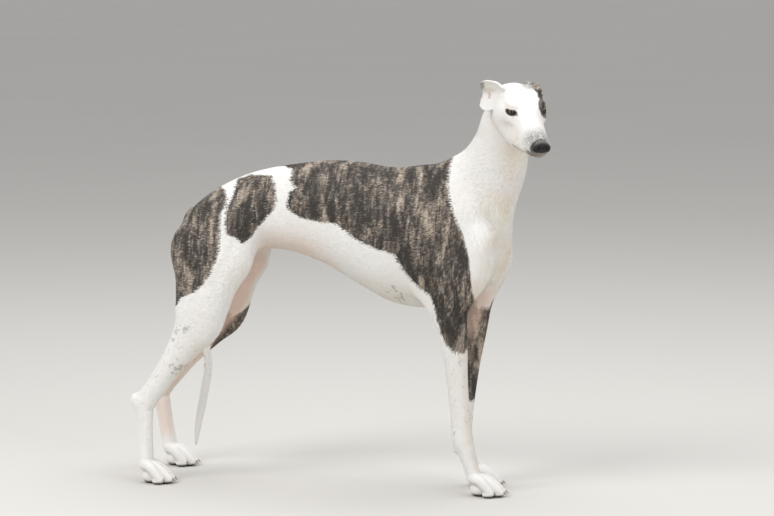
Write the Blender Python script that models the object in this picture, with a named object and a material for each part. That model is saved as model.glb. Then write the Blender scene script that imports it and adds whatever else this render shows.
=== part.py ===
"""A greyhound standing still, at life size, modelled whole and parted into named nodes.

The dog faces +X, its right side is towards -Y and the floor is Z = 0. Every size is in
metres. The body is a set of forms, each a smooth run of oval rings along a line, for a
limb, a muscle or a stretch of the trunk. Closed tubes of all forms are fused by a voxel
remesh, then every vertex is settled on the surface where the forms blend into each other.
Thin sheets then part the body where a person names its parts.
"""
import bmesh
import bpy
import numpy as np
from math import cos, pi, radians, sin, sqrt
from mathutils import Matrix, Vector

# The finished frame has its origin on the floor, under the middle of the whole model's box.
ORIGIN = Vector((-0.099, -0.043, 0.0))

GAP = 0.0003                 # clearance between neighbouring nodes
VOXEL = 0.0042               # grid of the remesh that fuses the forms
BODY_TRIANGLES = 3900        # triangles left on the trunk and the legs
HEAD_TRIANGLES = 2300
PAW_TRIANGLES = 2000
RING_POINTS = 18             # points round a form's tube
HEAD_REACH = 0.19            # that far from between the eyes the head ends
PAW_TOP = 0.065              # the paws lie below this height
CLAW_SIDES = 6
LID_POINTS = 20              # points round the opening between the lids
MOUTH_STEPS = 24             # steps along the line of the mouth
# Cuts between parts, each a thin sheet: its middle, two directions in it, its half sizes.
NAPE_CUT = ((0.270, -0.035, 0.795), (0.070, -0.045, -0.100), (0.54, 0.84, 0), 0.085, 0.062)
COLLAR_CUT = ((0.200, 0.0, 0.655), (0.150, 0, -0.125), (0, 1, 0), 0.135, 0.105)
SHANK_CUT = (0.335, (0.75, 0, -0.66), 0.11, 0.06)      # height, slope, half sizes
WRIST_CUT = (0.108, 0.06, 0.05)                        # height, half sizes
HOCK_CUT = (0.140, 0.07, 0.05)
FORELEG_SPAN = (0.098, 0.34)             # x of the back and of the front of the cut round a foreleg
THIGH_BACK = -0.66                       # x behind the whole thigh
# Outlines, as y and z on the left side, of what the cuts take for a foreleg and a thigh.
FORELEG_PROFILE = ((0.003, -0.02), (0.003, 0.37), (0.036, 0.402), (0.17, 0.470), (0.17, -0.02))
THIGH_PROFILE = ((0.002, -0.02), (0.002, 0.420), (0.036, 0.535), (0.072, 0.600), (0.17, 0.650),
                 (0.17, -0.02))
THIGH_FRONT = (-0.258, -0.258, -0.268, -0.290, -0.330, -0.258)   # x of each point's front end
FAR = 0.5                    # distance given to points that no form reaches

# Colour and roughness of each kind of node; the rest have the white coat.
WHITE_COAT = ((0.83, 0.80, 0.74), 0.72)
LOOKS = {
    "torso": ((0.36, 0.31, 0.27), 0.70),
    "thigh": ((0.55, 0.50, 0.45), 0.70),
    "eye": ((0.045, 0.022, 0.010), 0.10),
    "nose": ((0.018, 0.015, 0.015), 0.42),
}

RIGHT, LEFT = -1, 1
SIDE_NAMES = {RIGHT: "right", LEFT: "left"}

# Joints of the legs as the dog stands, one place for each side: x, y, z.
ELBOW = {RIGHT: (0.158, -0.067, 0.392), LEFT: (0.176, 0.067, 0.392)}
WRIST = {RIGHT: (0.179, -0.056, 0.122), LEFT: (0.149, 0.056, 0.122)}
FORE_KNUCKLE = {RIGHT: (0.205, -0.054, 0.041), LEFT: (0.173, 0.052, 0.041)}
STIFLE = {RIGHT: (-0.388, -0.094, 0.372), LEFT: (-0.398, 0.096, 0.372)}
HOCK = {RIGHT: (-0.527, -0.098, 0.172), LEFT: (-0.566, 0.106, 0.172)}
HIND_KNUCKLE = {RIGHT: (-0.522, -0.104, 0.042), LEFT: (-0.545, 0.110, 0.042)}

# The head has a frame of its own: x forward, y to its left, z up, zero between the eyes.
HEAD_PLACE = Vector((0.3315, -0.119, 0.8285))
HEAD_YAW = radians(-61.0)
HEAD_PITCH = radians(15.5)
HEAD_ROLL = radians(0.8)
HEAD = (Matrix.Translation(HEAD_PLACE) @ Matrix.Rotation(HEAD_YAW, 4, "Z")
        @ Matrix.Rotation(HEAD_PITCH, 4, "Y") @ Matrix.Rotation(HEAD_ROLL, 4, "X"))

# Directions across the leaf of each ear and out of its cup.
EAR_ACROSS = {RIGHT: Vector((-0.15, 0.0, 0.99)), LEFT: Vector((-0.10, -0.68, 0.73))}
EAR_FACING = {RIGHT: Vector((0.76, -0.64, 0.11)), LEFT: Vector((0.12, 0.72, 0.68))}
EAR_FOLD = 0.45                          # half width of the fold, by the half width of the ear
EAR_POINTS = 9
EYE_PLACE = (-0.004, 0.0284, 0.0003)     # centre of the left eyeball in the head's frame
EYE_RADIUS = 0.0115
EYE_TURN = radians(34.0)                 # how far an eye looks outwards
LID_THICKNESS = 0.0016
LID_TILT = radians(-2.0)                 # turn of the opening between the lids about the gaze
LID_OPENING = (0.0110, 0.0056, 0.0048)   # half length, height above and below the axis
LID_RIM = 0.0017
NOSE_BACK = 0.1185                       # where the leather of the nose begins
NOSE_TIP = 0.1330
MOUTH_CORNER = (0.020, -0.0665)          # x and z of the corner and of the front of the mouth
MOUTH_FRONT = (0.108, -0.0565)
MOUTH_DEPTH = 0.0030
MOUTH_OPENING = 0.0008                   # half of the gap between the lips at the skin
NOSTRIL_PLACE = (0.0082, -0.0360)        # y of the left nostril, and z of both
NOSTRIL_SIZE = (0.0060, 0.0034, 0.0042)
NOSE_BOX = ((NOSE_BACK, -0.03, -0.0505), (0.15, 0.03, -0.01))   # two corners of what the nose takes
TOES = ((-1.5, 0.70), (-0.5, 1.0), (0.5, 1.0), (1.5, 0.70))   # lane and reach of each toe
FORE_TOES = (0.060, 0.0145)              # length of the toes and their spread
HIND_TOES = (0.056, 0.0135)
CLAW_SIZE = 0.0036
TAIL_SIDES = 12


def clear_scene():
    for old in list(bpy.data.objects):
        bpy.data.objects.remove(old, do_unlink=True)


def smooth_rows(rows, steps=5):
    """A Catmull-Rom curve through the rows, with the given number of steps in each span."""
    rows = np.asarray(rows, float)
    ends = np.vstack([2 * rows[0] - rows[1], rows, 2 * rows[-1] - rows[-2]])
    t = np.linspace(0, 1, steps, endpoint=False)[:, None]
    spans = []
    for p0, p1, p2, p3 in zip(ends, ends[1:], ends[2:], ends[3:]):
        curve = 2 * p1 + (p2 - p0) * t + (2 * p0 - 5 * p1 + 4 * p2 - p3) * t ** 2
        spans.append(0.5 * (curve + (3 * p1 - p0 - 3 * p2 + p3) * t ** 3))
    return np.vstack(spans + [rows[-1:]])


class Form:
    """A smooth run of oval rings. Each row is x, y, z, half width, half depth."""

    def __init__(self, rows, blend, side=(0, 1, 0), egg=0.0, caps=None, place=None, upright=False):
        rows = smooth_rows(rows)
        self.upright = upright
        self.axis = rows[:, :3]
        self.side = np.tile(np.asarray(side, float), (len(rows), 1))
        if place is not None:
            turn = np.array(place.to_3x3())
            self.axis = self.axis @ turn.T + np.array(place.translation)
            self.side = self.side @ turn.T
        self.width = np.maximum(rows[:, 3], 0.0008)
        self.depth = np.maximum(rows[:, 4], 0.0008)
        ahead = np.gradient(self.axis, axis=0)
        if upright:
            ahead[:, 1:] = 0.0
        self.ahead = ahead / np.linalg.norm(ahead, axis=1)[:, None]
        across = self.side - self.ahead * (self.side * self.ahead).sum(1)[:, None]
        self.side = across / np.linalg.norm(across, axis=1)[:, None]
        self.up = np.cross(self.ahead, self.side)
        self.blend = blend
        self.egg = egg
        ends = np.minimum(self.width, self.depth)
        self.caps = caps if caps is not None else (ends[0], ends[-1])
        reach = max(self.width.max(), self.depth.max(), *self.caps) + blend + 0.02
        self.low = self.axis.min(0) - reach
        self.high = self.axis.max(0) + reach

    def place_along(self, points):
        """How far along the axis each point lies, counted in rings."""
        if self.upright:
            back_to_front = self.axis[::-1, 0]
            return len(self.axis) - 1 - np.interp(points[:, 0], back_to_front, np.arange(len(self.axis)))
        away = (self.axis ** 2).sum(1) - 2 * points @ self.axis.T
        ring = away.argmin(1)
        place = np.zeros(len(points))
        nearest = np.full(len(points), np.inf)
        for j in (np.maximum(ring - 1, 0), np.minimum(ring, len(self.axis) - 2)):
            start = self.axis[j]
            run = self.axis[j + 1] - start
            off = points - start
            t = np.einsum("ij,ij->i", off, run) / np.einsum("ij,ij->i", run, run)
            t = np.clip(t, 0, 1)
            off -= t[:, None] * run
            away = np.einsum("ij,ij->i", off, off)
            closer = away < nearest
            nearest[closer] = away[closer]
            place[closer] = (j + t)[closer]
        return place

    def distance(self, points):
        """Roughly the distance to the form's surface, negative inside."""
        place = self.place_along(points)
        i = np.minimum(place.astype(int), len(self.axis) - 2)
        f = (place - i)[:, None]

        def at(values):
            return values[i] * (1 - f) + values[i + 1] * f

        off = points - at(self.axis)
        width = self.width[i] * (1 - f[:, 0]) + self.width[i + 1] * f[:, 0]
        depth = self.depth[i] * (1 - f[:, 0]) + self.depth[i + 1] * f[:, 0]
        cap = np.where(place < len(self.axis) / 2, self.caps[0], self.caps[1])
        u = np.einsum("ij,ij->i", off, at(self.side))
        v = np.einsum("ij,ij->i", off, at(self.up)) / depth
        w = np.einsum("ij,ij->i", off, at(self.ahead)) / cap
        u = u / (width * (1 - self.egg * np.clip(v, -1, 1)))
        ratio = np.sqrt(u * u + v * v + w * w) + 1e-9
        length = np.sqrt(np.einsum("ij,ij->i", off, off)) + 1e-9
        return length - length / ratio


def blended_distance(forms, points):
    """Distance to the forms melted together in their order, each with its own blend."""
    total = np.full(len(points), FAR)
    for form in forms:
        near = np.all((points > form.low) & (points < form.high), axis=1)
        if not near.any():
            continue
        own = form.distance(points[near])
        before = total[near]
        k = form.blend
        h = np.clip(0.5 + 0.5 * (before - own) / k, 0, 1)
        total[near] = before * (1 - h) + own * h - k * h * (1 - h)
    return total


def settle(forms, points, rounds=3, step=0.0006, limit=0.006):
    """Moves the points along the slope of the distance onto the blended surface."""
    value = blended_distance(forms, points)
    slope = np.empty_like(points)
    for k in range(3):
        aside = points.copy()
        aside[:, k] += step
        slope[:, k] = (blended_distance(forms, aside) - value) / step
    slope /= np.maximum((slope ** 2).sum(1), 0.05)[:, None]
    for _ in range(rounds):
        points = points - slope * np.clip(value, -limit, limit)[:, None]
        value = blended_distance(forms, points)
    return points


def limb_rows(joints, sizes):
    """Rows along a line through the joints. Each size is a place, the half width, the half
    depth and, if need be, a shift along X; the place counts the joints passed."""
    joints = np.asarray(joints, float)
    rows = []
    for place, width, depth, *shift in sizes:
        i = min(int(place), len(joints) - 2)
        x, y, z = joints[i] + (joints[i + 1] - joints[i]) * (place - i)
        rows.append((x + sum(shift), y, z, width, depth))
    return rows


def muscle(start, end, width, depth, blend, place=None, belly=0.5):
    """A spindle from start to end, fullest at the given place along it."""
    start, end = np.asarray(start, float), np.asarray(end, float)
    rows = []
    for t, size in ((0.0, 0.25), (belly * 0.5, 0.82), (belly, 1.0), (0.5 + belly * 0.5, 0.78), (1.0, 0.2)):
        rows.append((*(start * (1 - t) + end * t), width * size, depth * size))
    return Form(rows, blend, place=place)


def ball(centre, along, width, depth, blend, heading=(1, 0, 0), place=None):
    """An ellipsoid: half length along its heading, half width and half depth."""
    centre = np.asarray(centre, float)
    tip = np.asarray(heading, float) * along * 0.02
    rows = [(*(centre - tip), width, depth), (*(centre + tip), width, depth)]
    return Form(rows, blend, caps=(along, along), place=place)


def trunk_forms():
    """Chest, loin and rump in one run, given by the heights of the back and the belly."""
    # place along X, height of the back, height of the belly, half width
    outline = (
        (0.222, 0.650, 0.450, 0.058),
        (0.165, 0.697, 0.410, 0.076),
        (0.095, 0.704, 0.394, 0.086),
        (0.014, 0.696, 0.403, 0.090),
        (-0.065, 0.706, 0.441, 0.086),
        (-0.130, 0.708, 0.477, 0.076),
        (-0.200, 0.700, 0.503, 0.066),
        (-0.265, 0.689, 0.511, 0.063),
        (-0.330, 0.670, 0.506, 0.066),
        (-0.395, 0.637, 0.500, 0.060),
        (-0.440, 0.600, 0.500, 0.042),
    )
    rows = [(x, 0.0, (top + low) / 2, width, (top - low) / 2) for x, top, low, width in outline]
    return [Form(rows, 0.02, egg=-0.10, caps=(0.050, 0.030), upright=True)]


def neck_forms():
    rows = (
        (0.158, 0.000, 0.590, 0.060, 0.080),
        (0.198, 0.000, 0.650, 0.058, 0.088),
        (0.232, -0.004, 0.700, 0.050, 0.074),
        (0.254, -0.014, 0.752, 0.043, 0.061),
        (0.267, -0.028, 0.797, 0.041, 0.055),
        (0.286, -0.046, 0.836, 0.038, 0.046),
    )
    return [Form(rows, 0.035, caps=(0.11, 0.04))]


def shoulder_forms(s):
    """Shoulder blade, upper arm and the long head of the triceps on side s."""
    withers = (0.092, s * 0.028, 0.672)
    point = (0.222, s * 0.066, 0.548)
    elbow = ELBOW[s]
    blade = muscle(withers, point, 0.030, 0.058, 0.03, belly=0.55)
    arm = muscle((0.225, s * 0.062, 0.560), (elbow[0] + 0.004, s * 0.066, 0.400), 0.032, 0.050, 0.03,
                 belly=0.4)
    triceps = muscle((0.100, s * 0.056, 0.600), (0.136, s * 0.069, 0.372), 0.030, 0.056, 0.03, belly=0.45)
    point_ball = ball((0.220, s * 0.060, 0.543), 0.027, 0.028, 0.037, 0.035)
    return [blade, arm, triceps, point_ball]


def foreleg_forms(s):
    elbow, wrist, knuckle = (np.array(joint[s]) for joint in (ELBOW, WRIST, FORE_KNUCKLE))
    top = elbow + (0.010, s * 0.004, 0.085)
    sizes = (
        (0.0, 0.030, 0.048, 0.002),
        (0.6, 0.027, 0.039, 0.002),
        (1.0, 0.0245, 0.0345, 0.001),
        (1.2, 0.0215, 0.0315),
        (1.45, 0.0180, 0.0255),
        (1.7, 0.0160, 0.0225),
        (1.88, 0.0165, 0.0222),
        (2.0, 0.0190, 0.0242),
        (2.25, 0.0180, 0.0205),
        (2.6, 0.0180, 0.0165),
        (3.0, 0.0205, 0.0165),
    )
    leg = Form(limb_rows((top, elbow, wrist, knuckle), sizes), 0.022)
    olecranon = ball(elbow + (-0.018, 0, -0.008), 0.012, 0.012, 0.018, 0.018)
    stop_pad = ball(wrist + (-0.013, 0, -0.024), 0.007, 0.007, 0.010, 0.008)
    return [leg, olecranon, stop_pad]


def hindleg_forms(s):
    stifle, hock, knuckle = (np.array(joint[s]) for joint in (STIFLE, HOCK, HIND_KNUCKLE))
    hip = np.array((-0.362, s * 0.052, 0.575))
    sizes = (
        (0.0, 0.038, 0.072, 0.004),
        (0.35, 0.044, 0.088, -0.002),
        (0.65, 0.042, 0.0715, -0.009),
        (0.9, 0.036, 0.061, -0.010),
        (1.1, 0.030, 0.0545, -0.003),
        (1.3, 0.0255, 0.0395),
        (1.55, 0.0210, 0.0285),
        (1.8, 0.0165, 0.0245),
        (2.0, 0.0155, 0.0250),
        (2.2, 0.0145, 0.0200),
        (2.6, 0.0140, 0.0170),
        (3.0, 0.0190, 0.0175),
    )
    leg = Form(limb_rows((hip, stifle, hock, knuckle), sizes), 0.05)
    heel = ball(hock + (-0.018, 0, 0.008), 0.016, 0.012, 0.017, 0.012, heading=(0.6, 0, 0.8))
    buttock = ball((-0.430, s * 0.052, 0.503), 0.042, 0.036, 0.050, 0.04)
    return [leg, heel, buttock]


def paw_forms(knuckle, length, spread):
    """Four arched toes with their pads, and the large pad behind them."""
    forms = []
    base = np.array((knuckle[0], knuckle[1], 0.0))
    height = knuckle[2]
    for lane, reach in TOES:
        y = lane * spread
        far = length * reach
        path = (
            (0.000, 0.5 * y, height - 0.002, 0.0115, 0.012),
            (0.42 * far, 0.95 * y, height - 0.006, 0.0105, 0.0115),
            (0.80 * far, 1.02 * y, 0.020, 0.0098, 0.0110),
            (far, 1.03 * y, 0.0105, 0.0085, 0.0090),
        )
        rows = [(*(base + row[:3]), *row[3:]) for row in path]
        forms.append(Form(rows, 0.005))
        pad = base + (0.84 * far, 1.02 * y, 0.007)
        forms.append(ball(pad, 0.012, 0.0085, 0.009, 0.003))
    forms.append(ball(base + (0.012, 0, 0.0150), 0.021, 0.0205, 0.0178, 0.008))
    return forms


def tail_form():
    rows = (
        (-0.412, 0.000, 0.556, 0.016, 0.017),
        (-0.448, 0.000, 0.551, 0.0165, 0.0175),
        (-0.467, 0.000, 0.518, 0.0150, 0.0160),
        (-0.469, 0.000, 0.465, 0.0130, 0.0130),
        (-0.452, 0.000, 0.395, 0.0115, 0.0115),
        (-0.428, 0.000, 0.320, 0.0105, 0.0105),
        (-0.414, 0.000, 0.255, 0.0098, 0.0105),
        (-0.424, 0.000, 0.185, 0.0092, 0.0105),
        (-0.437, 0.000, 0.122, 0.0078, 0.0090),
        (-0.444, 0.000, 0.072, 0.0035, 0.0040),
    )
    return Form(rows, 0.006)


def head_forms():
    forms = []

    def run(rows, blend, **more):
        forms.append(Form(rows, blend, place=HEAD, **more))

    run((
        (-0.104, 0, -0.006, 0.026, 0.024),
        (-0.084, 0, -0.004, 0.038, 0.028),
        (-0.055, 0, -0.0045, 0.044, 0.029),
        (-0.025, 0, -0.005, 0.041, 0.029),
        (0.000, 0, -0.008, 0.034, 0.025),
    ), 0.03)
    run((
        (-0.050, 0, -0.016, 0.037, 0.036),
        (-0.015, 0, -0.019, 0.037, 0.036),
        (0.022, 0, -0.021, 0.031, 0.030),
        (0.058, 0, -0.0290, 0.0278, 0.0255),
        (0.094, 0, -0.0365, 0.0241, 0.0200),
        (0.116, 0, -0.0400, 0.0199, 0.0165),
    ), 0.02, egg=0.20, caps=(0.03, 0.012))
    run((
        (-0.052, 0, -0.047, 0.036, 0.028),
        (-0.010, 0, -0.053, 0.030, 0.023),
        (0.040, 0, -0.055, 0.022, 0.0145),
        (0.090, 0, -0.0555, 0.0160, 0.0105),
        (0.107, 0, -0.0550, 0.0125, 0.0092),
    ), 0.012, caps=(0.02, 0.008))
    for s in (RIGHT, LEFT):
        run((
            (-0.025, s * 0.0255, -0.045, 0.011, 0.019),
            (0.020, s * 0.0240, -0.0490, 0.011, 0.0175),
            (0.055, s * 0.0190, -0.0495, 0.0105, 0.0150),
            (0.090, s * 0.0120, -0.0480, 0.0095, 0.0110),
        ), 0.010)
        run((
            (-0.052, s * 0.0280, -0.054, 0.013, 0.017),
            (-0.012, s * 0.0240, -0.061, 0.012, 0.015),
            (0.040, s * 0.0160, -0.0610, 0.010, 0.0115),
            (0.085, s * 0.0080, -0.0575, 0.008, 0.0080),
        ), 0.012)
        forms.append(muscle((0.006, s * 0.032, -0.014), (-0.062, s * 0.042, -0.010), 0.010, 0.013, 0.018,
                            place=HEAD))
        forms.append(ball((-0.042, s * 0.029, -0.036), 0.028, 0.018, 0.029, 0.016, place=HEAD))
        forms.append(ball((-0.062, s * 0.026, 0.012), 0.034, 0.018, 0.022, 0.014, place=HEAD))
        forms.append(ball((-0.062, s * 0.039, -0.024), 0.026, 0.014, 0.026, 0.020, place=HEAD))
        forms.append(ball((-0.007, s * 0.0275, 0.013), 0.017, 0.013, 0.009, 0.014, place=HEAD))
        eye = (EYE_PLACE[0], s * EYE_PLACE[1], EYE_PLACE[2])
        lid = EYE_RADIUS + LID_THICKNESS
        forms.append(ball(eye, lid, lid, lid, 0.007, place=HEAD))
    forms.append(ball((-0.062, 0.035, 0.0265), 0.026, 0.011, 0.011, 0.006, place=HEAD))
    forms.append(ball((NOSE_BACK + 0.0055, 0, -0.0365), 0.0090, 0.0185, 0.0125, 0.003, place=HEAD))
    return forms


def ear_rings(s):
    """Rings of the leaf of one ear, each a crescent that is open on its cupped side, with a
    fold along its middle. The right ear stands out from the skull, its rim blunt and folded,
    and the left one is laid back along the skull."""
    across, facing = EAR_ACROSS[s], EAR_FACING[s]
    # place in the head's frame, half width, curl in degrees, thickness, depth of the fold
    if s == RIGHT:
        rows = (
            (-0.054, -0.032, 0.010, 0.024, 55, 0.0120, 0.000),
            (-0.064, -0.042, 0.012, 0.030, 46, 0.0085, 0.000),
            (-0.071, -0.051, 0.012, 0.031, 42, 0.0060, 0.003),
            (-0.077, -0.059, 0.011, 0.032, 40, 0.0048, 0.005),
            (-0.082, -0.066, 0.010, 0.031, 40, 0.0040, 0.006),
            (-0.086, -0.0715, 0.010, 0.028, 40, 0.0034, 0.006),
            (-0.088, -0.0750, 0.011, 0.024, 40, 0.0028, 0.006),
        )
    else:
        rows = (
            (-0.046, 0.020, 0.012, 0.015, 75, 0.0110, 0.000),
            (-0.058, 0.030, 0.0185, 0.018, 58, 0.0110, 0.000),
            (-0.073, 0.030, 0.0190, 0.019, 46, 0.0090, 0.000),
            (-0.088, 0.028, 0.0145, 0.019, 40, 0.0062, 0.001),
            (-0.101, 0.026, 0.0080, 0.015, 38, 0.0044, 0.002),
            (-0.112, 0.024, 0.0000, 0.009, 35, 0.0034, 0.001),
            (-0.118, 0.022, -0.004, 0.003, 30, 0.0028, 0.000),
        )
    rings = []
    for x, y, z, half, curl, thick, fold in smooth_rows(rows, 2):
        spread = radians(curl)
        round_by = half / sin(spread)
        outer, inner = [], []
        for k in range(EAR_POINTS):
            turn = spread * (2 * k / (EAR_POINTS - 1) - 1)
            edge = abs(turn) / spread
            by = thick / 2 * (1 - 0.55 * edge ** 3)
            sunk = fold * max(0.0, 1 - (edge / EAR_FOLD) ** 2)
            for side, points in ((by, outer), (-by, inner)):
                reach = round_by + side
                points.append(Vector((x, y, z)) + across * reach * sin(turn)
                              + facing * (round_by - sunk - reach * cos(turn)))
        rings.append([HEAD @ point for point in outer + inner[::-1]])
    return rings


def all_forms():
    forms = trunk_forms() + neck_forms()
    for s in (RIGHT, LEFT):
        forms += shoulder_forms(s) + foreleg_forms(s) + hindleg_forms(s)
    forms += head_forms()
    for s in (RIGHT, LEFT):
        forms += paw_forms(FORE_KNUCKLE[s], *FORE_TOES)
        forms += paw_forms(HIND_KNUCKLE[s], *HIND_TOES)
    return forms


def tube_into(mesh, form, sides=RING_POINTS, step=1):
    """Adds the form to the mesh as a closed tube with rounded ends."""
    turns = [2 * pi * i / sides for i in range(sides)]
    last = len(form.axis) - 1
    stations = [(0, -sin(a), cos(a)) for a in (1.2, 0.8, 0.4)]
    stations += [(i, 0.0, 1.0) for i in range(0, len(form.axis), step)]
    stations += [(last, sin(a), cos(a)) for a in (0.4, 0.8, 1.2)]
    rings = []
    for i, out, size in stations:
        cap = form.caps[0] if i == 0 else form.caps[1]
        middle = form.axis[i] + form.ahead[i] * out * cap
        ring = []
        for turn in turns:
            width = form.width[i] * (1 - form.egg * sin(turn))
            at = middle + size * (form.side[i] * width * cos(turn) + form.up[i] * form.depth[i] * sin(turn))
            ring.append(mesh.verts.new(at))
        rings.append(ring)
    for one, two in zip(rings, rings[1:]):
        for i in range(sides):
            j = (i + 1) % sides
            mesh.faces.new((one[i], one[j], two[j], two[i]))
    mesh.faces.new(list(reversed(rings[0])))
    mesh.faces.new(rings[-1])


def mesh_points(mesh):
    points = np.empty(len(mesh.vertices) * 3)
    mesh.vertices.foreach_get("co", points)
    return points.reshape(-1, 3)


def apply_modifiers(thing):
    """Replaces the object's mesh by what its modifiers make of it."""
    graph = bpy.context.evaluated_depsgraph_get()
    made = bpy.data.meshes.new_from_object(thing.evaluated_get(graph))
    thing.modifiers.clear()
    thing.data = made


def relax(mesh, points, rounds, share=0.5):
    """Evens out the spacing of the points along the mesh's edges."""
    ends = np.empty(len(mesh.edges) * 2, int)
    mesh.edges.foreach_get("vertices", ends)
    ends = ends.reshape(-1, 2)
    count = np.bincount(ends.ravel(), minlength=len(points))[:, None]
    for _ in range(rounds):
        total = np.zeros_like(points)
        np.add.at(total, ends[:, 0], points[ends[:, 1]])
        np.add.at(total, ends[:, 1], points[ends[:, 0]])
        points = points * (1 - share) + share * total / count
    return points


def near_head(points):
    return np.linalg.norm(points - np.array(HEAD_PLACE), axis=1) < HEAD_REACH


def in_paws(points):
    return points[:, 2] < PAW_TOP


def elsewhere(points):
    return ~(near_head(points) | in_paws(points))


def thin_out(thing, region, count):
    """Thins out one region of the object's surface to about that many triangles."""
    mesh = thing.data
    mesh.calc_loop_triangles()
    corners = np.empty(len(mesh.loop_triangles) * 3, int)
    mesh.loop_triangles.foreach_get("vertices", corners)
    inside = region(mesh_points(mesh))
    busy = inside[corners.reshape(-1, 3)].all(axis=1).sum()
    total = len(mesh.loop_triangles)
    group = thing.vertex_groups.new(name="free")
    group.add(np.flatnonzero(inside).tolist(), 1.0, "REPLACE")
    decimate = thing.modifiers.new("thin_out", "DECIMATE")
    decimate.ratio = (total - busy + count) / total
    decimate.vertex_group = "free"
    decimate.vertex_group_factor = 1.0
    apply_modifiers(thing)
    thing.vertex_groups.clear()


def settled_mesh(name, forms):
    """One closed object around all the forms, blended where they meet."""
    tubes = bmesh.new()
    for form in forms:
        tube_into(tubes, form)
    mesh = bpy.data.meshes.new(name)
    tubes.to_mesh(mesh)
    tubes.free()
    thing = bpy.data.objects.new(name, mesh)
    bpy.context.collection.objects.link(thing)
    remesh = thing.modifiers.new("fuse", "REMESH")
    remesh.mode = "VOXEL"
    remesh.voxel_size = VOXEL
    apply_modifiers(thing)
    mesh = thing.data
    points = settle(forms, mesh_points(mesh))
    points = relax(mesh, points, 2)
    points = settle(forms, points, rounds=2)
    mesh.vertices.foreach_set("co", points.ravel())
    mesh.update()
    return thing


def new_object(name, mesh):
    data = bpy.data.meshes.new(name)
    mesh.to_mesh(data)
    mesh.free()
    thing = bpy.data.objects.new(name, data)
    bpy.context.collection.objects.link(thing)
    return thing


def cutter_box(low, high, place=None):
    """A box between two corners, in the given frame."""
    low, high = Vector(low), Vector(high)
    mesh = bmesh.new()
    bmesh.ops.create_cube(mesh, size=1.0)
    for vert in mesh.verts:
        vert.co = Vector((low[k] + (vert.co[k] + 0.5) * (high[k] - low[k]) for k in range(3)))
    if place is not None:
        mesh.transform(place)
    return new_object("cutter", mesh)


def cutter_prism(profile, back, front):
    """A profile in the YZ plane drawn out along X. Its front face may lean: front is a
    place along X for each point of the profile."""
    mesh = bmesh.new()
    near = [mesh.verts.new((back, y, z)) for y, z in profile]
    far = [mesh.verts.new((x, y, z)) for (y, z), x in zip(profile, front)]
    mesh.faces.new(near)
    mesh.faces.new(list(reversed(far)))
    for i in range(len(profile)):
        j = (i + 1) % len(profile)
        mesh.faces.new((near[j], near[i], far[i], far[j]))
    bmesh.ops.triangulate(mesh, faces=mesh.faces)
    bmesh.ops.recalc_face_normals(mesh, faces=mesh.faces)
    return new_object("cutter", mesh)


def grown(thing, by):
    """Moves every face of the object outwards by the given amount."""
    mesh = bmesh.new()
    mesh.from_mesh(thing.data)
    moves = [vert.normal * vert.calc_shell_factor() * by for vert in mesh.verts]
    for vert, move in zip(mesh.verts, moves):
        vert.co += move
    mesh.to_mesh(thing.data)
    mesh.free()
    return thing


def slab(point, along, across, long, wide):
    """A thin flat sheet through the point, spanned by two directions."""
    along, across = Vector(along).normalized(), Vector(across).normalized()
    across = (across - along * across.dot(along)).normalized()
    turn = Matrix((along, across, along.cross(across))).transposed().to_4x4()
    half = Vector((long, wide, GAP / 2))
    return cutter_box(-half, half, Matrix.Translation(Vector(point)) @ turn)


def combine(thing, other, operation):
    """One Boolean of two objects, applied; the second object is removed."""
    boolean = thing.modifiers.new("combine", "BOOLEAN")
    boolean.operation = operation
    boolean.solver = "EXACT"
    boolean.object = other
    apply_modifiers(thing)
    bpy.data.objects.remove(other, do_unlink=True)


def islands(mesh):
    """The loose parts of a bmesh, each a list of its vertices."""
    mesh.verts.ensure_lookup_table()
    seen, parts = set(), []
    for vert in mesh.verts:
        if vert.index in seen:
            continue
        part, queue = [], [vert]
        seen.add(vert.index)
        while queue:
            one = queue.pop()
            part.append(one)
            for edge in one.link_edges:
                other = edge.other_vert(one)
                if other.index not in seen:
                    seen.add(other.index)
                    queue.append(other)
        parts.append(part)
    return parts


def span(part):
    """The diagonal of the box round a list of vertices."""
    places = np.array([vert.co for vert in part])
    return np.linalg.norm(places.max(0) - places.min(0))


def drop_all_but(thing, mesh, kept):
    """Writes only the kept vertices of the bmesh, with their faces, to the object."""
    kept = set(kept)
    bmesh.ops.delete(mesh, geom=[vert for vert in mesh.verts if vert not in kept], context="VERTS")
    mesh.to_mesh(thing.data)
    mesh.free()


def part_off(thing, cutter, name, seed):
    """Cuts the object with a thin cutter. The loose part nearest to the seed becomes a
    new object, and the object keeps the widest of the others."""
    combine(thing, cutter, "DIFFERENCE")
    mesh = bmesh.new()
    mesh.from_mesh(thing.data)
    parts = islands(mesh)
    seed = Vector(seed)
    chosen = min(range(len(parts)), key=lambda i: min((vert.co - seed).length for vert in parts[i]))
    others = [i for i in range(len(parts)) if i != chosen]
    widest = max(others, key=lambda i: span(parts[i]))
    piece = bpy.data.objects.new(name, thing.data.copy())
    bpy.context.collection.objects.link(piece)
    copy = bmesh.new()
    copy.from_mesh(thing.data)
    drop_all_but(piece, copy, islands(copy)[chosen])
    drop_all_but(thing, mesh, parts[widest])
    return piece


def twin(thing, name):
    copy = thing.copy()
    copy.data = thing.data.copy()
    copy.name = name
    bpy.context.collection.objects.link(copy)
    return copy


def keep_widest(thing):
    """Drops the scraps that a cut leaves beside the piece itself."""
    whole = bmesh.new()
    whole.from_mesh(thing.data)
    drop_all_but(thing, whole, max(islands(whole), key=span))


def part_volume(thing, volume, name):
    """What lies inside the volume becomes a new object, with the gap between the two."""
    piece = twin(thing, name)
    combine(piece, grown(twin(volume, "inside"), -GAP / 2), "INTERSECT")
    combine(thing, grown(volume, GAP / 2), "DIFFERENCE")
    keep_widest(piece)
    keep_widest(thing)
    return piece


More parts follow.
